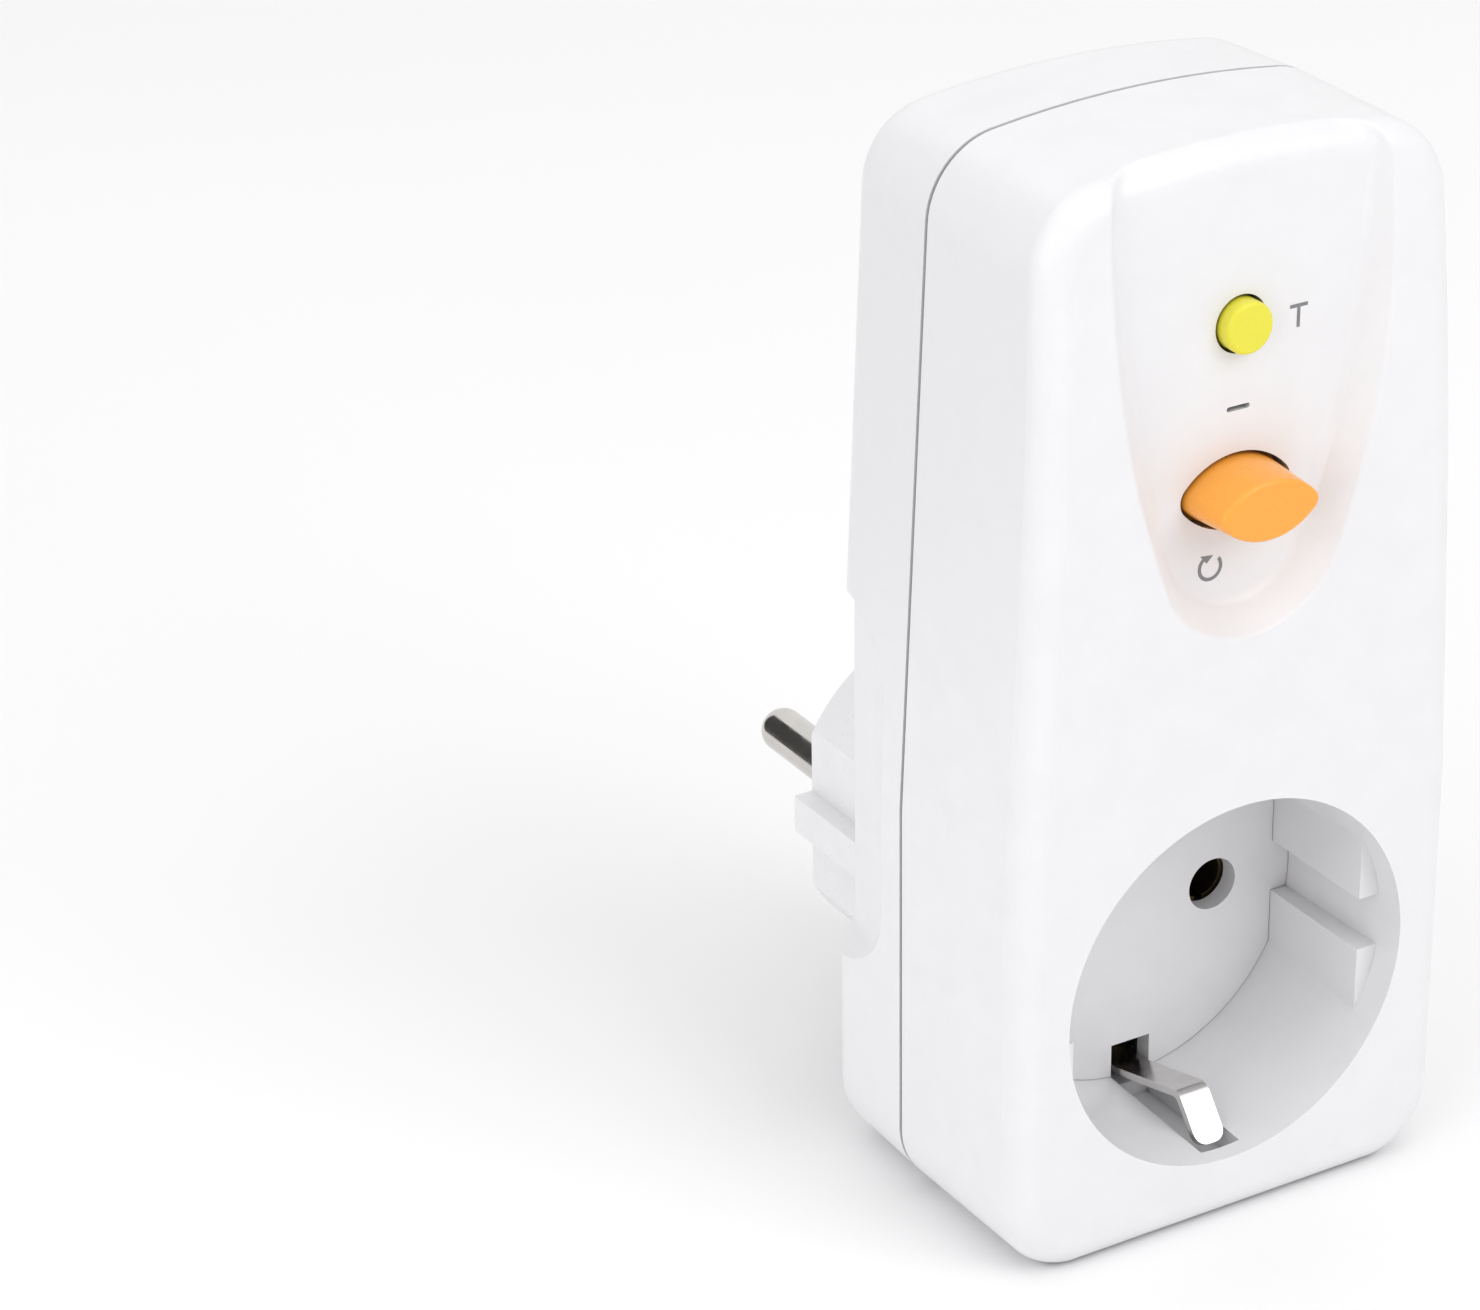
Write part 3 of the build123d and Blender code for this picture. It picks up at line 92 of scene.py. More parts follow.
class Graph:
    """Short calls for building a node tree."""

    def __init__(self, tree):
        self.nodes, self.links = tree.nodes, tree.links

    def add(self, kind, inputs=(), **settings):
        """A node with its settings, and its inputs given by name or number as a value or a socket."""
        node = self.nodes.new(kind)
        for key, value in settings.items():
            setattr(node, key, value)
        for key, value in dict(inputs).items():
            if isinstance(value, bpy.types.NodeSocket):
                self.links.new(value, node.inputs[key])
            else:
                node.inputs[key].default_value = value
        return node

    def math(self, operation, a, b=0.0, clamp=False):
        """The result of a Math node."""
        return self.add("ShaderNodeMath", {0: a, 1: b}, operation=operation, use_clamp=clamp).outputs[0]

    def mix(self, share, a, b):
        """The colour between a and b."""
        return self.add("ShaderNodeMix", {0: share, 6: a, 7: b}, data_type="RGBA").outputs[2]

    def part(self, value, share):
        """A value times a share."""
        return self.math("MULTIPLY", value, share)

    def span(self, value, from_low, from_high, to_low, to_high):
        """A value carried from one range to another and held there."""
        inputs = {0: value, 1: from_low, 2: from_high, 3: to_low, 4: to_high}
        return self.add("ShaderNodeMapRange", inputs, clamp=True).outputs[0]

    def noise(self, vector, scale, detail=3.0, rough=0.55):
        """The value of a noise texture, in a 3-D pattern."""
        inputs = {"Vector": vector, "Scale": scale, "Detail": detail, "Roughness": rough}
        return self.add("ShaderNodeTexNoise", inputs).outputs[0]


def new_group(name, inputs, outputs):
    """An empty shader node group with its sockets, as (tree, graph, input node, output node)."""
    tree = bpy.data.node_groups.new(name, "ShaderNodeTree")
    for label, kind, value in inputs:
        socket = tree.interface.new_socket(name=label, in_out="INPUT", socket_type=kind)
        socket.default_value = value
    for label, kind in outputs:
        tree.interface.new_socket(name=label, in_out="OUTPUT", socket_type=kind)
    graph = Graph(tree)
    return tree, graph, graph.add("NodeGroupInput"), graph.add("NodeGroupOutput")


FLOAT = "NodeSocketFloat"

# Pattern scales are in cells per metre, reaches and radii in metres.
FINE_GRAIN, SLOW_WAVES, GLOSS_PATCHES, BROKEN_EDGES = 5200.0, 95.0, 240.0, 900.0
HAIRLINES, HANDLED_AREAS = 2600.0, 120.0
FINE_SHARE = 0.25  # the rest of the grain's height is the slow waviness
BRUSHED_LINES, WINDING_RIDGES = 3500.0, 1250.0
PAD_CELLS, TRACK_AREAS = 260.0, 70.0
TRACK_WAVES = 1900.0  # radians per metre
RESISTOR_START = 8.0  # X of the first end of the resistors, in millimetres
RESISTOR_RINGS = [  # place along the body in millimetres, and colour
    (1.0, (0.25, 0.05, 0.02)),
    (2.1, (0.02, 0.02, 0.02)),
    (3.2, (0.55, 0.12, 0.02)),
    (5.0, (0.45, 0.33, 0.08)),
]
EDGE_RADIUS, METAL_EDGE_RADIUS = 0.0004, 0.0003
CORNER_REACH, GAP_REACH = 0.003, 0.0008
BRIGHTEST_EDGE = 0.93
PLASTIC_IOR = 1.49


def grain_group():
    """Moulded surface: a fine even grain over slow, shallow waviness."""
    outputs = [("Height", FLOAT), ("Patches", FLOAT)]
    tree, g, ins, outs = new_group("moulded_grain", [("Scale", FLOAT, 1.0)], outputs)
    where = g.add("ShaderNodeTexCoord").outputs["Object"]
    fine = g.noise(where, g.part(ins.outputs["Scale"], FINE_GRAIN), 2.0)
    slow = g.noise(where, g.part(ins.outputs["Scale"], SLOW_WAVES), 2.0)
    height = g.math("ADD", g.part(fine, FINE_SHARE), g.part(slow, 1 - FINE_SHARE))
    g.links.new(height, outs.inputs["Height"])
    patches = g.noise(where, g.part(ins.outputs["Scale"], GLOSS_PATCHES), 4.0, 0.6)
    g.links.new(g.span(patches, 0.35, 0.65, 0.0, 1.0), outs.inputs["Patches"])
    return tree


def edge_group():
    """Worn edges, found by comparing the rounded normal with the true one; corners for dusty grey and painted
    shade, and narrow gaps for painted shade, found by how much of the open space a point sees within two
    reaches."""
    outputs = [("Edge", FLOAT), ("Corner", FLOAT), ("Gap", FLOAT)]
    tree, g, ins, outs = new_group("edge_wear", [("Radius", FLOAT, EDGE_RADIUS)], outputs)
    rounded = g.add("ShaderNodeBevel", {"Radius": ins.outputs["Radius"]}, samples=4).outputs[0]
    true = g.add("ShaderNodeNewGeometry").outputs["Normal"]
    dot = g.add("ShaderNodeVectorMath", {0: rounded, 1: true}, operation="DOT_PRODUCT").outputs["Value"]
    change = g.span(g.math("SUBTRACT", 1.0, dot), 0.015, 0.20, 0.0, 1.0)
    hidden = g.add("ShaderNodeAmbientOcclusion", {"Distance": CORNER_REACH}, samples=4).outputs["AO"]
    corner = g.span(hidden, 0.35, 0.85, 1.0, 0.0)
    where = g.add("ShaderNodeTexCoord").outputs["Object"]
    broken = g.span(g.noise(where, BROKEN_EDGES, 4.0, 0.65), 0.42, 0.62, 0.15, 1.0)
    open_edge = g.part(change, g.math("SUBTRACT", 1.0, corner))
    g.links.new(g.part(open_edge, broken), outs.inputs["Edge"])
    g.links.new(corner, outs.inputs["Corner"])
    narrow = g.add("ShaderNodeAmbientOcclusion", {"Distance": GAP_REACH}, samples=6).outputs["AO"]
    g.links.new(g.span(narrow, 0.16, 0.46, 1.0, 0.0), outs.inputs["Gap"])
    return tree


def scratch_group():
    """Fine marks of handling: thin lines cut from stretched noise, in two directions."""
    tree, g, _, outs = new_group("hairlines", [], [("Lines", FLOAT)])
    where = g.add("ShaderNodeTexCoord").outputs["Object"]
    lines = []
    for turn, stretch in (((0.2, 0.5, 0.1), (1.0, 1.0, 0.06)), ((0.9, -0.4, 0.3), (0.06, 1.0, 1.0))):
        turned = g.add("ShaderNodeMapping", {"Vector": where, "Rotation": turn, "Scale": stretch}).outputs[0]
        value = g.noise(turned, HAIRLINES, 1.0)
        thin = g.span(g.math("ABSOLUTE", g.math("SUBTRACT", value, 0.5)), 0.0, 0.012, 1.0, 0.0)
        area = g.span(g.noise(where, HANDLED_AREAS, 2.0), 0.52, 0.66, 0.0, 1.0)
        lines.append(g.part(thin, area))
    g.links.new(g.math("MAXIMUM", *lines), outs.inputs["Lines"])
    return tree


GRAIN, EDGE, HAIR = grain_group(), edge_group(), scratch_group()


def start_material(name):
    """A new material, as (material, graph, Principled node)."""
    material = bpy.data.materials.new(name)
    material.use_nodes = True
    graph = Graph(material.node_tree)
    shader = next(n for n in graph.nodes if n.type == "BSDF_PRINCIPLED")
    return material, graph, shader


def use(graph, group, inputs=()):
    """A use of a node group."""
    node = graph.add("ShaderNodeGroup", node_tree=group)
    for key, value in dict(inputs).items():
        node.inputs[key].default_value = value
    return node.outputs


def set_bump(graph, shader, height, strength, distance):
    """Height as a bump in the shader's normal."""
    bump = graph.add("ShaderNodeBump", {"Height": height, "Strength": strength, "Distance": distance})
    graph.links.new(bump.outputs[0], shader.inputs["Normal"])


def shade(colour, share=1.0, lift=0.0):
    """A colour made darker or lighter, with full alpha."""
    return (*[c * share + lift for c in colour], 1.0)


def plastic(name, colour, roughness, dust_and_shade=0.25, gap_shade=0.3, shine=1.12):
    """Moulded plastic: patchy gloss, fine grain and polished edges; corners go dusty grey on dark plastics and
    take painted shade on light ones, and narrow gaps take painted shade.
    """
    material, g, shader = start_material(name)
    grain, edge, hair = use(g, GRAIN), use(g, EDGE), use(g, HAIR)
    polished = (*[min(c * shine, BRIGHTEST_EDGE) for c in colour], 1.0)
    tone = g.mix(grain["Patches"], shade(colour), shade(colour, 0.98))
    # Corners: a dusty grey on dark plastics, painted shade on light ones.
    tone = g.mix(g.part(edge["Corner"], dust_and_shade), tone, shade(colour, 0.62, 0.05))
    # Narrow gaps: painted shade.
    tone = g.mix(g.part(edge["Gap"], gap_shade), tone, shade(colour, 0.20))
    tone = g.mix(g.part(edge["Edge"], 0.5), tone, polished)
    g.links.new(tone, shader.inputs["Base Color"])
    rough = g.span(grain["Patches"], 0.0, 1.0, roughness * 0.88, roughness * 1.12)
    rough = g.math("SUBTRACT", rough, g.part(edge["Edge"], roughness * 0.3))
    rough = g.math("ADD", rough, g.part(hair["Lines"], 0.10))
    g.links.new(rough, shader.inputs["Roughness"])
    shader.inputs["IOR"].default_value = PLASTIC_IOR
    height = g.math("SUBTRACT", grain["Height"], g.part(hair["Lines"], 0.3))
    set_bump(g, shader, height, 0.25, 0.00006)
    return material


def metal(name, colour, roughness, tarnish=0.25, worn=(0.85, 0.84, 0.82), brushed=None):
    """Metal: cloudy tarnish, hairlines, bright worn edges, and a brushed grain along one direction."""
    material, g, shader = start_material(name)
    grain, edge, hair = use(g, GRAIN, {"Scale": 1.6}), use(g, EDGE, {"Radius": METAL_EDGE_RADIUS}), use(g, HAIR)
    tone = g.mix(g.part(grain["Patches"], tarnish), shade(colour), shade(colour, 0.62))
    # Corners darken: painted shade.
    tone = g.mix(g.part(edge["Corner"], 0.45), tone, shade(colour, 0.35))
    tone = g.mix(g.part(edge["Edge"], 0.6), tone, shade(worn))
    g.links.new(tone, shader.inputs["Base Color"])
    shader.inputs["Metallic"].default_value = 1.0
    rough = g.span(grain["Patches"], 0.0, 1.0, roughness * 0.75, roughness * 1.35)
    g.links.new(g.math("ADD", rough, g.part(hair["Lines"], 0.12)), shader.inputs["Roughness"])
    height = grain["Height"]
    if brushed:
        where = g.add("ShaderNodeTexCoord").outputs["Object"]
        drawn = g.add("ShaderNodeMapping", {"Vector": where, "Scale": brushed}).outputs[0]
        height = g.math("ADD", g.part(height, 0.4), g.part(g.noise(drawn, BRUSHED_LINES), 0.6))
    set_bump(g, shader, height, 0.2, 0.00004)
    return material


def wound_copper(name):
    """Enamelled wire laid side by side: the windings show as fine ridges across the coil, with painted shade
    between them and painted highlight on their crowns.
    """
    material, g, shader = start_material(name)
    where = g.add("ShaderNodeTexCoord").outputs["Object"]
    inputs = {"Vector": where, "Scale": WINDING_RIDGES, "Distortion": 0.6, "Detail": 1.0}
    wave = g.add("ShaderNodeTexWave", inputs)
    wave.bands_direction = "Z"
    edge, grain = use(g, EDGE), use(g, GRAIN)
    ridge = wave.outputs["Fac"]
    # The tone follows the ridges: painted shade in the troughs, painted highlight on the crowns.
    tone = g.mix(ridge, (0.12, 0.03, 0.01, 1.0), (0.50, 0.16, 0.06, 1.0))
    tone = g.mix(g.part(grain["Patches"], 0.4), tone, (0.30, 0.08, 0.03, 1.0))
    tone = g.mix(g.part(edge["Edge"], 0.4), tone, (0.62, 0.26, 0.12, 1.0))
    g.links.new(tone, shader.inputs["Base Color"])
    shader.inputs["Metallic"].default_value = 0.6
    g.links.new(g.span(grain["Patches"], 0.0, 1.0, 0.28, 0.42), shader.inputs["Roughness"])
    set_bump(g, shader, ridge, 0.5, 0.0001)
    return material


def board_green(name):
    """Solder mask over copper tracks: a lighter lattice of tracks and round pads."""
    material, g, shader = start_material(name)
    where = g.add("ShaderNodeTexCoord").outputs["Object"]
    parts = g.add("ShaderNodeSeparateXYZ", {0: where}).outputs
    grain, edge = use(g, GRAIN), use(g, EDGE)
    cells = g.add("ShaderNodeTexVoronoi", {"Vector": where, "Scale": PAD_CELLS}, distance="CHEBYCHEV")
    pads = g.span(cells.outputs["Distance"], 0.10, 0.13, 1.0, 0.0)
    stripes = g.math("ABSOLUTE", g.math("SINE", g.part(parts["Z"], TRACK_WAVES)))
    area = g.span(g.noise(where, TRACK_AREAS, 1.0), 0.48, 0.50, 0.0, 1.0)
    tracks = g.part(g.span(stripes, 0.55, 0.65, 0.0, 1.0), area)
    tone = g.mix(tracks, (0.010, 0.085, 0.030, 1.0), (0.022, 0.165, 0.060, 1.0))
    tone = g.mix(g.part(pads, 0.8), tone, (0.55, 0.53, 0.48, 1.0))
    tone = g.mix(g.part(edge["Edge"], 0.6), tone, (0.30, 0.32, 0.16, 1.0))
    g.links.new(tone, shader.inputs["Base Color"])
    g.links.new(g.span(grain["Patches"], 0.0, 1.0, 0.25, 0.40), shader.inputs["Roughness"])
    height = g.math("ADD", g.part(tracks, 0.5), g.part(grain["Height"], 0.3))
    set_bump(g, shader, height, 0.3, 0.00008)
    return material


def banded_resistor(name):
    """Lacquered resistor bodies with four colour rings along X."""
    material, g, shader = start_material(name)
    where = g.add("ShaderNodeTexCoord").outputs["Object"]
    x = g.add("ShaderNodeSeparateXYZ", {0: where}).outputs["X"]
    along = g.math("SUBTRACT", g.part(x, 1000.0), RESISTOR_START)
    grain, edge = use(g, GRAIN), use(g, EDGE)
    tone = g.mix(grain["Patches"], (0.42, 0.27, 0.13, 1.0), (0.36, 0.22, 0.10, 1.0))
    for centre, colour in RESISTOR_RINGS:
        near = g.math("ABSOLUTE", g.math("SUBTRACT", along, centre))
        tone = g.mix(g.span(near, 0.22, 0.28, 1.0, 0.0), tone, (*colour, 1.0))
    tone = g.mix(g.part(edge["Edge"], 0.4), tone, (0.62, 0.48, 0.32, 1.0))
    g.links.new(tone, shader.inputs["Base Color"])
    g.links.new(g.span(grain["Patches"], 0.0, 1.0, 0.22, 0.34), shader.inputs["Roughness"])
    set_bump(g, shader, grain["Height"], 0.2, 0.00005)
    return material


def printed_ink(name):
    """Grey pad print, slightly uneven where the grain shows through."""
    material, g, shader = start_material(name)
    grain = use(g, GRAIN, {"Scale": 2.0})
    tone = g.mix(grain["Patches"], (0.185, 0.185, 0.195, 1.0), (0.225, 0.225, 0.235, 1.0))
    g.links.new(tone, shader.inputs["Base Color"])
    g.links.new(g.span(grain["Patches"], 0.0, 1.0, 0.42, 0.58), shader.inputs["Roughness"])
    set_bump(g, shader, grain["Height"], 0.2, 0.00004)
    return material


WHITE = (0.80, 0.795, 0.81)
white = plastic("housing_white", WHITE, 0.34, dust_and_shade=0.18, gap_shade=0.9)
plug_white = plastic("plug_white", WHITE, 0.30, dust_and_shade=0.22)
orange = plastic("button_orange", (0.93, 0.375, 0.045), 0.30, dust_and_shade=0.15)
yellow = plastic("button_yellow", (0.78, 0.72, 0.045), 0.30, dust_and_shade=0.15)
black = plastic("dark_plastic", (0.012, 0.012, 0.014), 0.32, dust_and_shade=0.5, shine=2.6)
flag = plastic("flag_dark", (0.006, 0.010, 0.011), 0.60, dust_and_shade=0.1, shine=1.5)
inner = plastic("inner_plastic", (0.020, 0.019, 0.020), 0.45, dust_and_shade=0.3, shine=1.8)
sheath = plastic("wire_sheath", (0.035, 0.080, 0.33), 0.38, dust_and_shade=0.3, shine=1.4)
capacitor = plastic("capacitor_case", (0.60, 0.44, 0.05), 0.36, dust_and_shade=0.3)
varistor = plastic("varistor_blue", (0.02, 0.075, 0.33), 0.26, dust_and_shade=0.3, shine=1.5)
nickel = metal("nickel", (0.66, 0.64, 0.61), 0.16, tarnish=0.18)
clip = metal("clip_metal", (0.72, 0.71, 0.69), 0.20, tarnish=0.2, brushed=(1.0, 0.05, 1.0))
earth = metal("earth_metal", (0.46, 0.45, 0.44), 0.30, tarnish=0.4, brushed=(1.0, 0.05, 1.0))
screw = metal("screw_steel", (0.42, 0.42, 0.43), 0.34, tarnish=0.5)
brass = metal("copper_alloy", (0.25, 0.185, 0.11), 0.34, tarnish=0.6, worn=(0.60, 0.50, 0.33))
sheet = metal("sheet_steel", (0.50, 0.50, 0.50), 0.32, tarnish=0.35, brushed=(0.05, 1.0, 1.0))
spring = metal("spring_steel", (0.38, 0.38, 0.40), 0.26, tarnish=0.4)
core = metal("core_iron", (0.06, 0.06, 0.065), 0.5, tarnish=0.6, worn=(0.30, 0.30, 0.31))
winding, board = wound_copper("winding_copper"), board_green("board_green")
resistor, ink = banded_resistor("resistor_body"), printed_ink("printed_ink")

BY_NODE = {
    white: ["front_cover", "socket_floor", "rear_cover"],
    plug_white: ["plug_body", "earth_socket_insert"],
    orange: ["reset_button"],
    yellow: ["test_button"],
    black: ["pin_collars", "earth_bracket", "control_chip", "diodes"],
    flag: ["indicator_flag"],
    inner: [
        "contact_carrier",
        "latch_carriage",
        "contact_posts",
        "trip_bobbin",
        "transformer_base",
        "test_post",
    ],
    sheath: ["line_wires", "load_wires"],
    capacitor: ["capacitor"],
    varistor: ["varistor"],
    nickel: ["live_pin", "neutral_pin"],
    clip: ["upper_earth_clip", "lower_earth_clip"],
    earth: ["upper_plug_earth_strip", "lower_plug_earth_strip", "earth_pin_sleeve"],
    screw: ["case_screws"],
    brass: [
        "left_contact_sleeve",
        "right_contact_sleeve",
        "earth_strap",
        "contact_bridges",
        "fixed_contacts",
        "test_leaf",
        "test_terminal",
    ],
    sheet: ["mechanism_frame", "guide_pins", "latch_lever", "lever_pin", "trip_yoke", "trip_plunger"],
    spring: ["reset_spring", "test_spring", "opening_springs", "plunger_spring"],
    winding: ["trip_winding", "transformer_winding"],
    core: ["transformer_core"],
    board: ["circuit_board"],
    resistor: ["resistors"],
}
for material, names in BY_NODE.items():
    for name in names:
        mesh = NODES[name].data
        mesh.materials.clear()
        mesh.materials.append(material)


# Springs. Sizes in millimetres: the depths and rises are those of their seats in the drawing.

WIRE_R = 0.25
STEPS_A_TURN = 36
STEPS_AROUND = 12
END_FLATNESS = 0.09  # how much the helix levels off at its ends, as a share of its length
UPRIGHT = [[1, 0, 0], [0, 1, 0], [0, 0, 1]]
DEPTHWISE = [[1, 0, 0], [0, 0, -1], [0, 1, 0]]

BUTTON_SEAT = 9.95  # depth of the sheet frame that both button springs stand on
RESET_RISE, TEST_RISE = 50.8, 67.2
RESET_SPRING = {"coil_r": 4.1, "turns": 2.0, "near": 6.95, "far": BUTTON_SEAT, "travel": 2.15}
TEST_SPRING = {"coil_r": 2.6, "turns": 3.0, "near": 6.75, "far": BUTTON_SEAT, "travel": 1.4}
OPENING_SPRING = {"coil_r": 2.4, "turns": 6.0, "near": 18.95, "far": 28.55, "travel": 2.2}
OPENING_SPRING_X = 5.6
PLUNGER_SPRING_SEAT = (-7.2, 20.5, 62.75)
PLUNGER_SPRING_R, PLUNGER_SPRING_LENGTH, PLUNGER_SPRING_TURNS = 1.15, 2.5, 2.5


def ring_faces(rows, columns):
    """Quads of a grid of points whose columns close to a ring."""
    r, c = np.arange(rows - 1)[:, None], np.arange(columns)[None, :]
    after = (c + 1) % columns
    quads = [r * columns + c, (r + 1) * columns + c, (r + 1) * columns + after, r * columns + after]
    return np.stack([q.ravel() for q in np.broadcast_arrays(*quads)], 1)


def helix_tube(coil_r, length, turns):
    """A round wire on a helix about Z with its ends wound flat, as (points, quads, ends). Along u from 0 to 1
    the wire's centre is (R cos t, R sin t, r + (L - 2 r) s(u)), with t = 2 pi N u; s(u) = u - k sin(2 pi u)
    levels off at both ends. Around it the ring is r cos v along the coil's radius and r sin v along Z."""
    u = np.linspace(0, 1, int(STEPS_A_TURN * turns) + 1)[:, None]
    v = np.linspace(0, 2 * math.pi, STEPS_AROUND, endpoint=False)[None, :]
    t = 2 * math.pi * turns * u
    level = np.clip(u - np.sin(2 * math.pi * u) * END_FLATNESS, 0, 1)
    rise = WIRE_R + (length - 2 * WIRE_R) * level
    radial = coil_r + WIRE_R * np.cos(v)
    grid = np.stack(np.broadcast_arrays(radial * np.cos(t), radial * np.sin(t), rise + WIRE_R * np.sin(v)), -1)
    rows, columns = grid.shape[:2]
    first = np.arange(columns)
    return grid.reshape(-1, 3), ring_faces(rows, columns), (first[::-1], first + (rows - 1) * columns)


def spring_piece(node, seats, turn, coil):
    """Coil springs that stand for a CAD node and flatten towards their seats."""
    coil_r, length, turns = coil
    points, quads, ends = helix_tube(coil_r, length, turns)
    all_points = np.concatenate([points @ np.array(turn).T / 1000 + np.array(seat) for seat in seats])
    starts = [index * len(points) for index in range(len(seats))]
    all_quads = np.concatenate([quads + start for start in starts]).tolist()
    caps = [(end + start).tolist() for start in starts for end in ends]
    piece = mesh_piece(node + "_coil", all_points, all_quads + caps, spring)
    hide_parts(node)
    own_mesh(piece)


def depth_spring(node, spec, x_places, rise):
    """Springs along the depth that stand on their rear seat at far and reach forwards to near."""
    seats = [place(x, spec["far"], rise) for x in x_places]
    coil = (spec["coil_r"], spec["far"] - spec["near"], spec["turns"])
    spring_piece(node, seats, DEPTHWISE, coil)


depth_spring("reset_spring", RESET_SPRING, [0], RESET_RISE)
depth_spring("test_spring", TEST_SPRING, [0], TEST_RISE)
guides = [-OPENING_SPRING_X, OPENING_SPRING_X]
depth_spring("opening_springs", OPENING_SPRING, guides, RESET_RISE)
plunger_seats = [place(*PLUNGER_SPRING_SEAT)]
plunger_coil = (PLUNGER_SPRING_R, PLUNGER_SPRING_LENGTH, PLUNGER_SPRING_TURNS)
spring_piece("plunger_spring", plunger_seats, UPRIGHT, plunger_coil)


# Printed marks on the panel: a plain T beside the test button, a turning arrow under the reset button.
# Sizes in millimetres, places in X and Z of the drawing.

T_MIDDLE, T_FOOT, T_HEIGHT = 6.4, 65.5, 2.3
T_WIDTH, T_BAR, T_STEM = 2.0, 0.35, 0.36
ARROW_PLACE = (-2.6, 43.6)
ARROW_R, ARROW_WIDTH = 1.2, 0.36
ARROW_START, ARROW_END, ARROW_STEPS = 130, 400, 41  # angles in degrees
HEAD_TURN = 0.95  # angle of the head, in radians
HEAD_REACH = 1.02  # distance of its tip from the centre, as a share of the arrow's radius
HEAD_SPREAD = 1.6  # half its breadth, as a share of the arrow's width


def flat_mark(name, corners, faces):
    """A thin print on the panel floor, from corners in X and Z."""
    points = np.array([place(x, PANEL_DEPTH - INK_LIFT, rise) for x, rise in corners])
    mesh_piece(name, points, faces, ink)


def letter_t():
    """Corners and quads of a T made of a bar and a stem."""
    top, bar_low = T_FOOT + T_HEIGHT, T_FOOT + T_HEIGHT - T_BAR
    corners, faces = [], []
    for half, low_z, high_z in ((T_WIDTH / 2, bar_low, top), (T_STEM / 2, T_FOOT, bar_low)):
        left, right = T_MIDDLE - half, T_MIDDLE + half
        faces.append([len(corners) + index for index in range(4)])
        corners += [(left, low_z), (right, low_z), (right, high_z), (left, high_z)]
    return corners, faces


def turning_arrow():
    """A ring open over 90 degrees with a pointed head at its start; its edges are (r +- w/2)(cos a, sin a)."""
    angles = np.radians(np.linspace(ARROW_START, ARROW_END, ARROW_STEPS))
    ring = np.stack([np.cos(angles), np.sin(angles)], 1)
    inner, outer = ring * (ARROW_R - ARROW_WIDTH / 2), ring * (ARROW_R + ARROW_WIDTH / 2)
    count, at = len(angles), np.arange(len(angles) - 1)
    quads = np.stack([at, at + count, at + count + 1, at + 1], 1)
    lead = angles[0] - HEAD_TURN
    tip = np.array([np.cos(lead), np.sin(lead)]) * ARROW_R * HEAD_REACH
    wings = [ring[0] * (ARROW_R + side * ARROW_WIDTH * HEAD_SPREAD) for side in (-1, 1)]
    corners = np.concatenate([inner, outer, [tip], wings]) + ARROW_PLACE
    return corners, quads.tolist() + [[2 * count, 2 * count + 1, 2 * count + 2]]


flat_mark("test_mark", *letter_t())
flat_mark("reset_mark", *turning_arrow())


# Stage, light and camera, in metres

FLOOR_HALF = 6.0
MIDDLE = (0.0, 0.0, 0.055)  # the point that the lights aim at
LIGHTS = [  # name, place, side of the square and power in watts
    ("key", (0.35, -0.85, 0.75), 0.8, 4.4),
    ("fill", (-0.95, -0.25, 0.45), 0.9, 3.4),
    ("top", (0.05, 0.10, 1.8), 2.4, 12.0),
]
CARDS = [  # name, middle, and the two half sides
    ("card_behind", (-0.42, 0.62, 0.30), (0.30, 0.0, 0.0), (0.0, 0.0, 0.42)),
    ("card_low", (-0.30, 0.30, 0.004), (0.22, 0.0, 0.0), (0.0, 0.20, 0.0)),
    ("card_front", (0.10, -0.55, 0.20), (0.10, 0.0, 0.0), (0.0, 0.0, 0.10)),
]
WORLD_STRENGTH = 0.62
CAMERA_PLACE = (-0.231284, -0.341442, 0.250359)
CAMERA_RIGHT = (0.86271, -0.505468, -0.015307)
CAMERA_UP = (0.235091, 0.374075, 0.897106)
CAMERA_BACK = (-0.447733, -0.777541, 0.441549)
CAMERA_SENSOR, CAMERA_LENS = 36.0, 111.746  # in millimetres
CAMERA_NEAR, CAMERA_FAR = 0.01, 50.0


def matt_surface(name, scale, detail, darker, lighter):
    """A matt studio surface whose tone drifts slowly, as (material, Principled node)."""
    material, g, shader = start_material(name)
    where = g.add("ShaderNodeTexCoord").outputs["Object"]
    g.links.new(g.mix(g.noise(where, scale, detail), darker, lighter), shader.inputs["Base Color"])
    shader.inputs["Roughness"].default_value = 0.9
    return material, shader


def floor_and_backdrop():
    """A white floor that takes the object's shadow."""
    tones = (0.915, 0.91, 0.915, 1.0), (0.93, 0.925, 0.93, 1.0)
    material, shader = matt_surface("paper_white", 6.0, 2.0, *tones)
    shader.inputs["Specular IOR Level"].default_value = 0.2
    corners = [(x * FLOOR_HALF, y * FLOOR_HALF, 0) for x, y in ((-1, -1), (1, -1), (1, 1), (-1, 1))]
    staged_quad("floor", corners, material)


def soft_light(name, spot, size, power):
    """A square area light aimed at the middle of the object."""
    data = bpy.data.lights.new(name, "AREA")
    data.shape, data.size, data.energy = "SQUARE", size, power
    light = add_object(name, data)
    light.location = spot
    light.rotation_euler = (Vector(MIDDLE) - Vector(spot)).to_track_quat("-Z", "Y").to_euler()


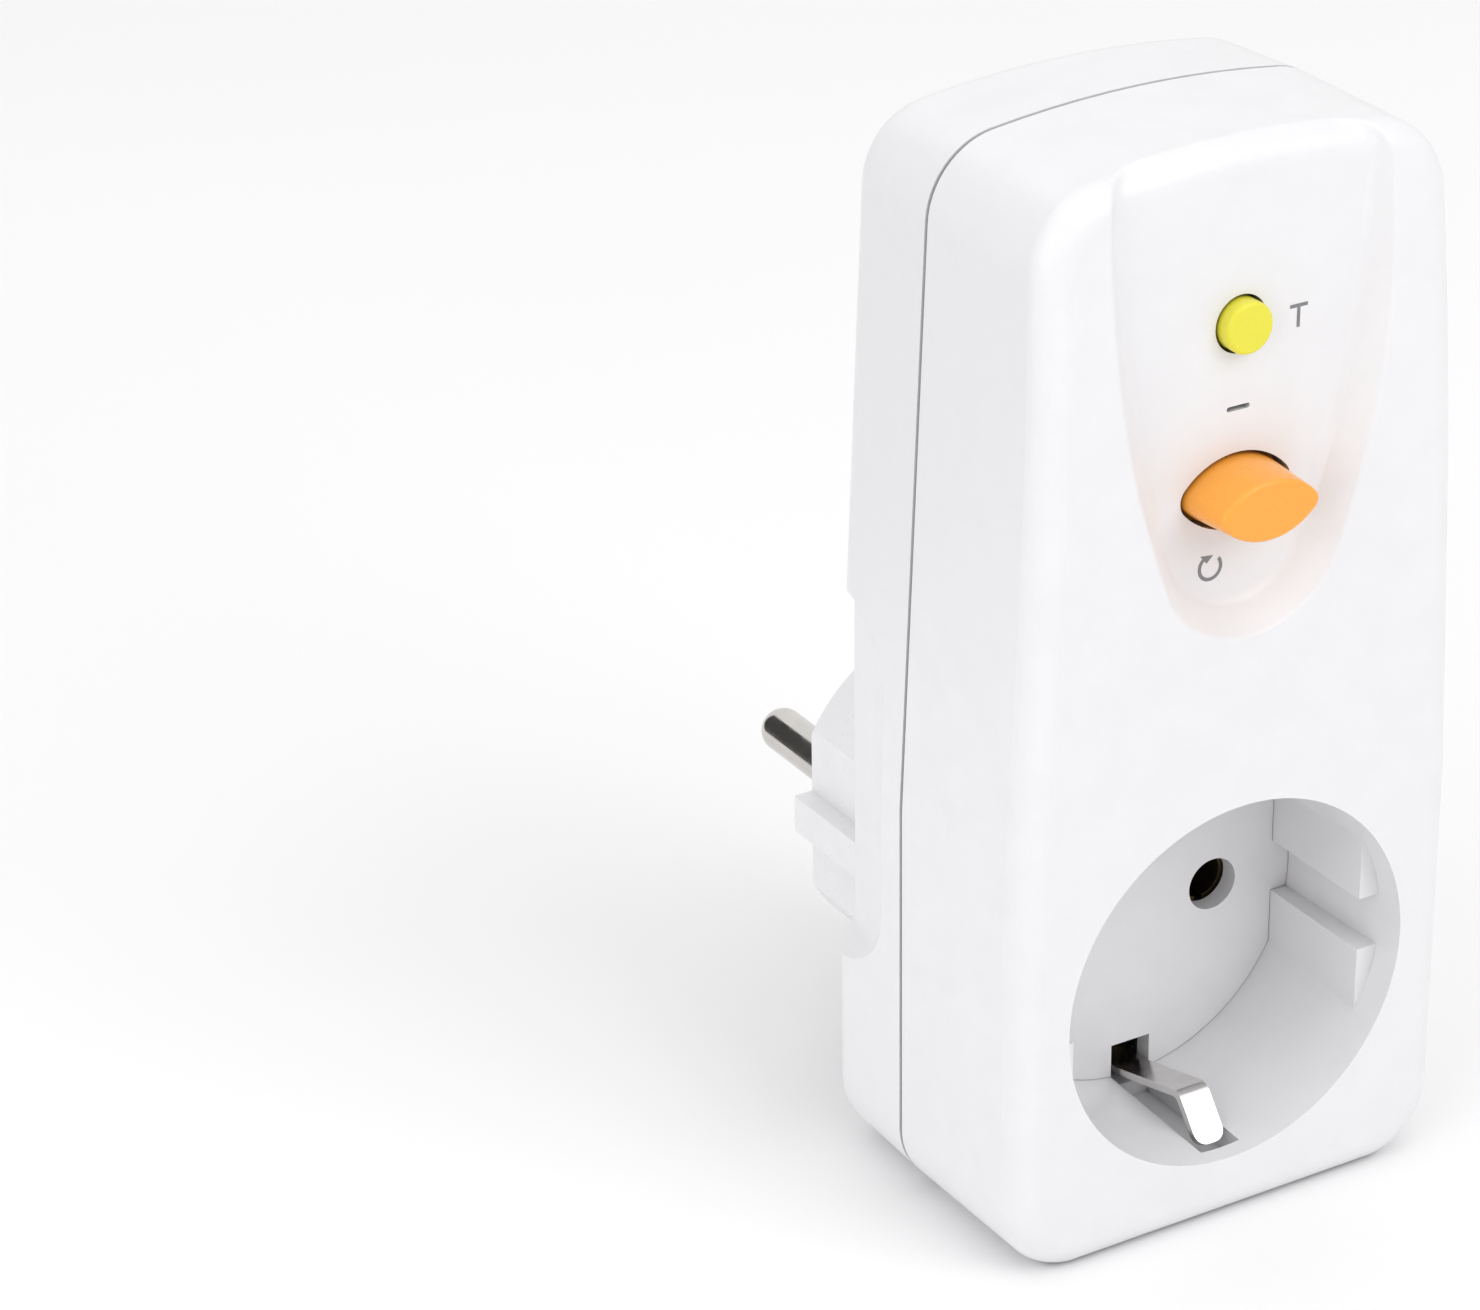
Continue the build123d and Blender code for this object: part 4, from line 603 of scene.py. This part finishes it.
def dark_card(name, middle, half_wide, half_high):
    """A dark card that only metal and gloss can see, for contrast in their reflections."""
    material, _ = matt_surface(name, 8.0, 3.0, (0.02, 0.02, 0.02, 1.0), (0.05, 0.05, 0.05, 1.0))
    mid, wide, high = np.array(middle), np.array(half_wide), np.array(half_high)
    corners = [mid - wide - high, mid + wide - high, mid + wide + high, mid - wide + high]
    card = staged_quad(name, [corner.tolist() for corner in corners], material)
    for kind in ("camera", "diffuse", "transmission", "volume_scatter", "shadow"):
        setattr(card, "visible_" + kind, False)


def white_world():
    """An even white surround: white to the camera, and to mirrors and glass, dimmer as a light."""
    world = bpy.data.worlds.new("studio")
    bpy.context.scene.world = world
    world.use_nodes = True
    g = Graph(world.node_tree)
    out = next(node for node in g.nodes if node.type == "OUTPUT_WORLD")
    path = g.add("ShaderNodeLightPath").outputs
    seen = g.math("ADD", path["Is Camera Ray"], path["Is Glossy Ray"], True)
    seen = g.math("ADD", seen, path["Is Transmission Ray"], True)
    white_light = {"Color": (1.0, 1.0, 1.0, 1.0)}
    lit = g.add("ShaderNodeBackground", {**white_light, "Strength": WORLD_STRENGTH}).outputs[0]
    shown = g.add("ShaderNodeBackground", {**white_light, "Strength": 1.0}).outputs[0]
    both = g.add("ShaderNodeMixShader", {0: seen, 1: lit, 2: shown}).outputs[0]
    g.links.new(both, out.inputs["Surface"])


def photo_camera():
    """The camera of the photograph: its place and turn in the row frame, long lens, no shift."""
    data = bpy.data.cameras.new("camera")
    data.sensor_fit, data.sensor_width, data.lens = "HORIZONTAL", CAMERA_SENSOR, CAMERA_LENS
    data.clip_start, data.clip_end = CAMERA_NEAR, CAMERA_FAR
    camera = add_object("camera", data)
    turn = Matrix((CAMERA_RIGHT, CAMERA_UP, CAMERA_BACK)).transposed()
    camera.matrix_world = Matrix.Translation(CAMERA_PLACE) @ turn.to_4x4()
    bpy.context.scene.camera = camera


floor_and_backdrop()
for light_spec in LIGHTS:
    soft_light(*light_spec)
for card_spec in CARDS:
    dark_card(*card_spec)
white_world()
photo_camera()
bpy.context.scene.view_settings.view_transform = "Standard"
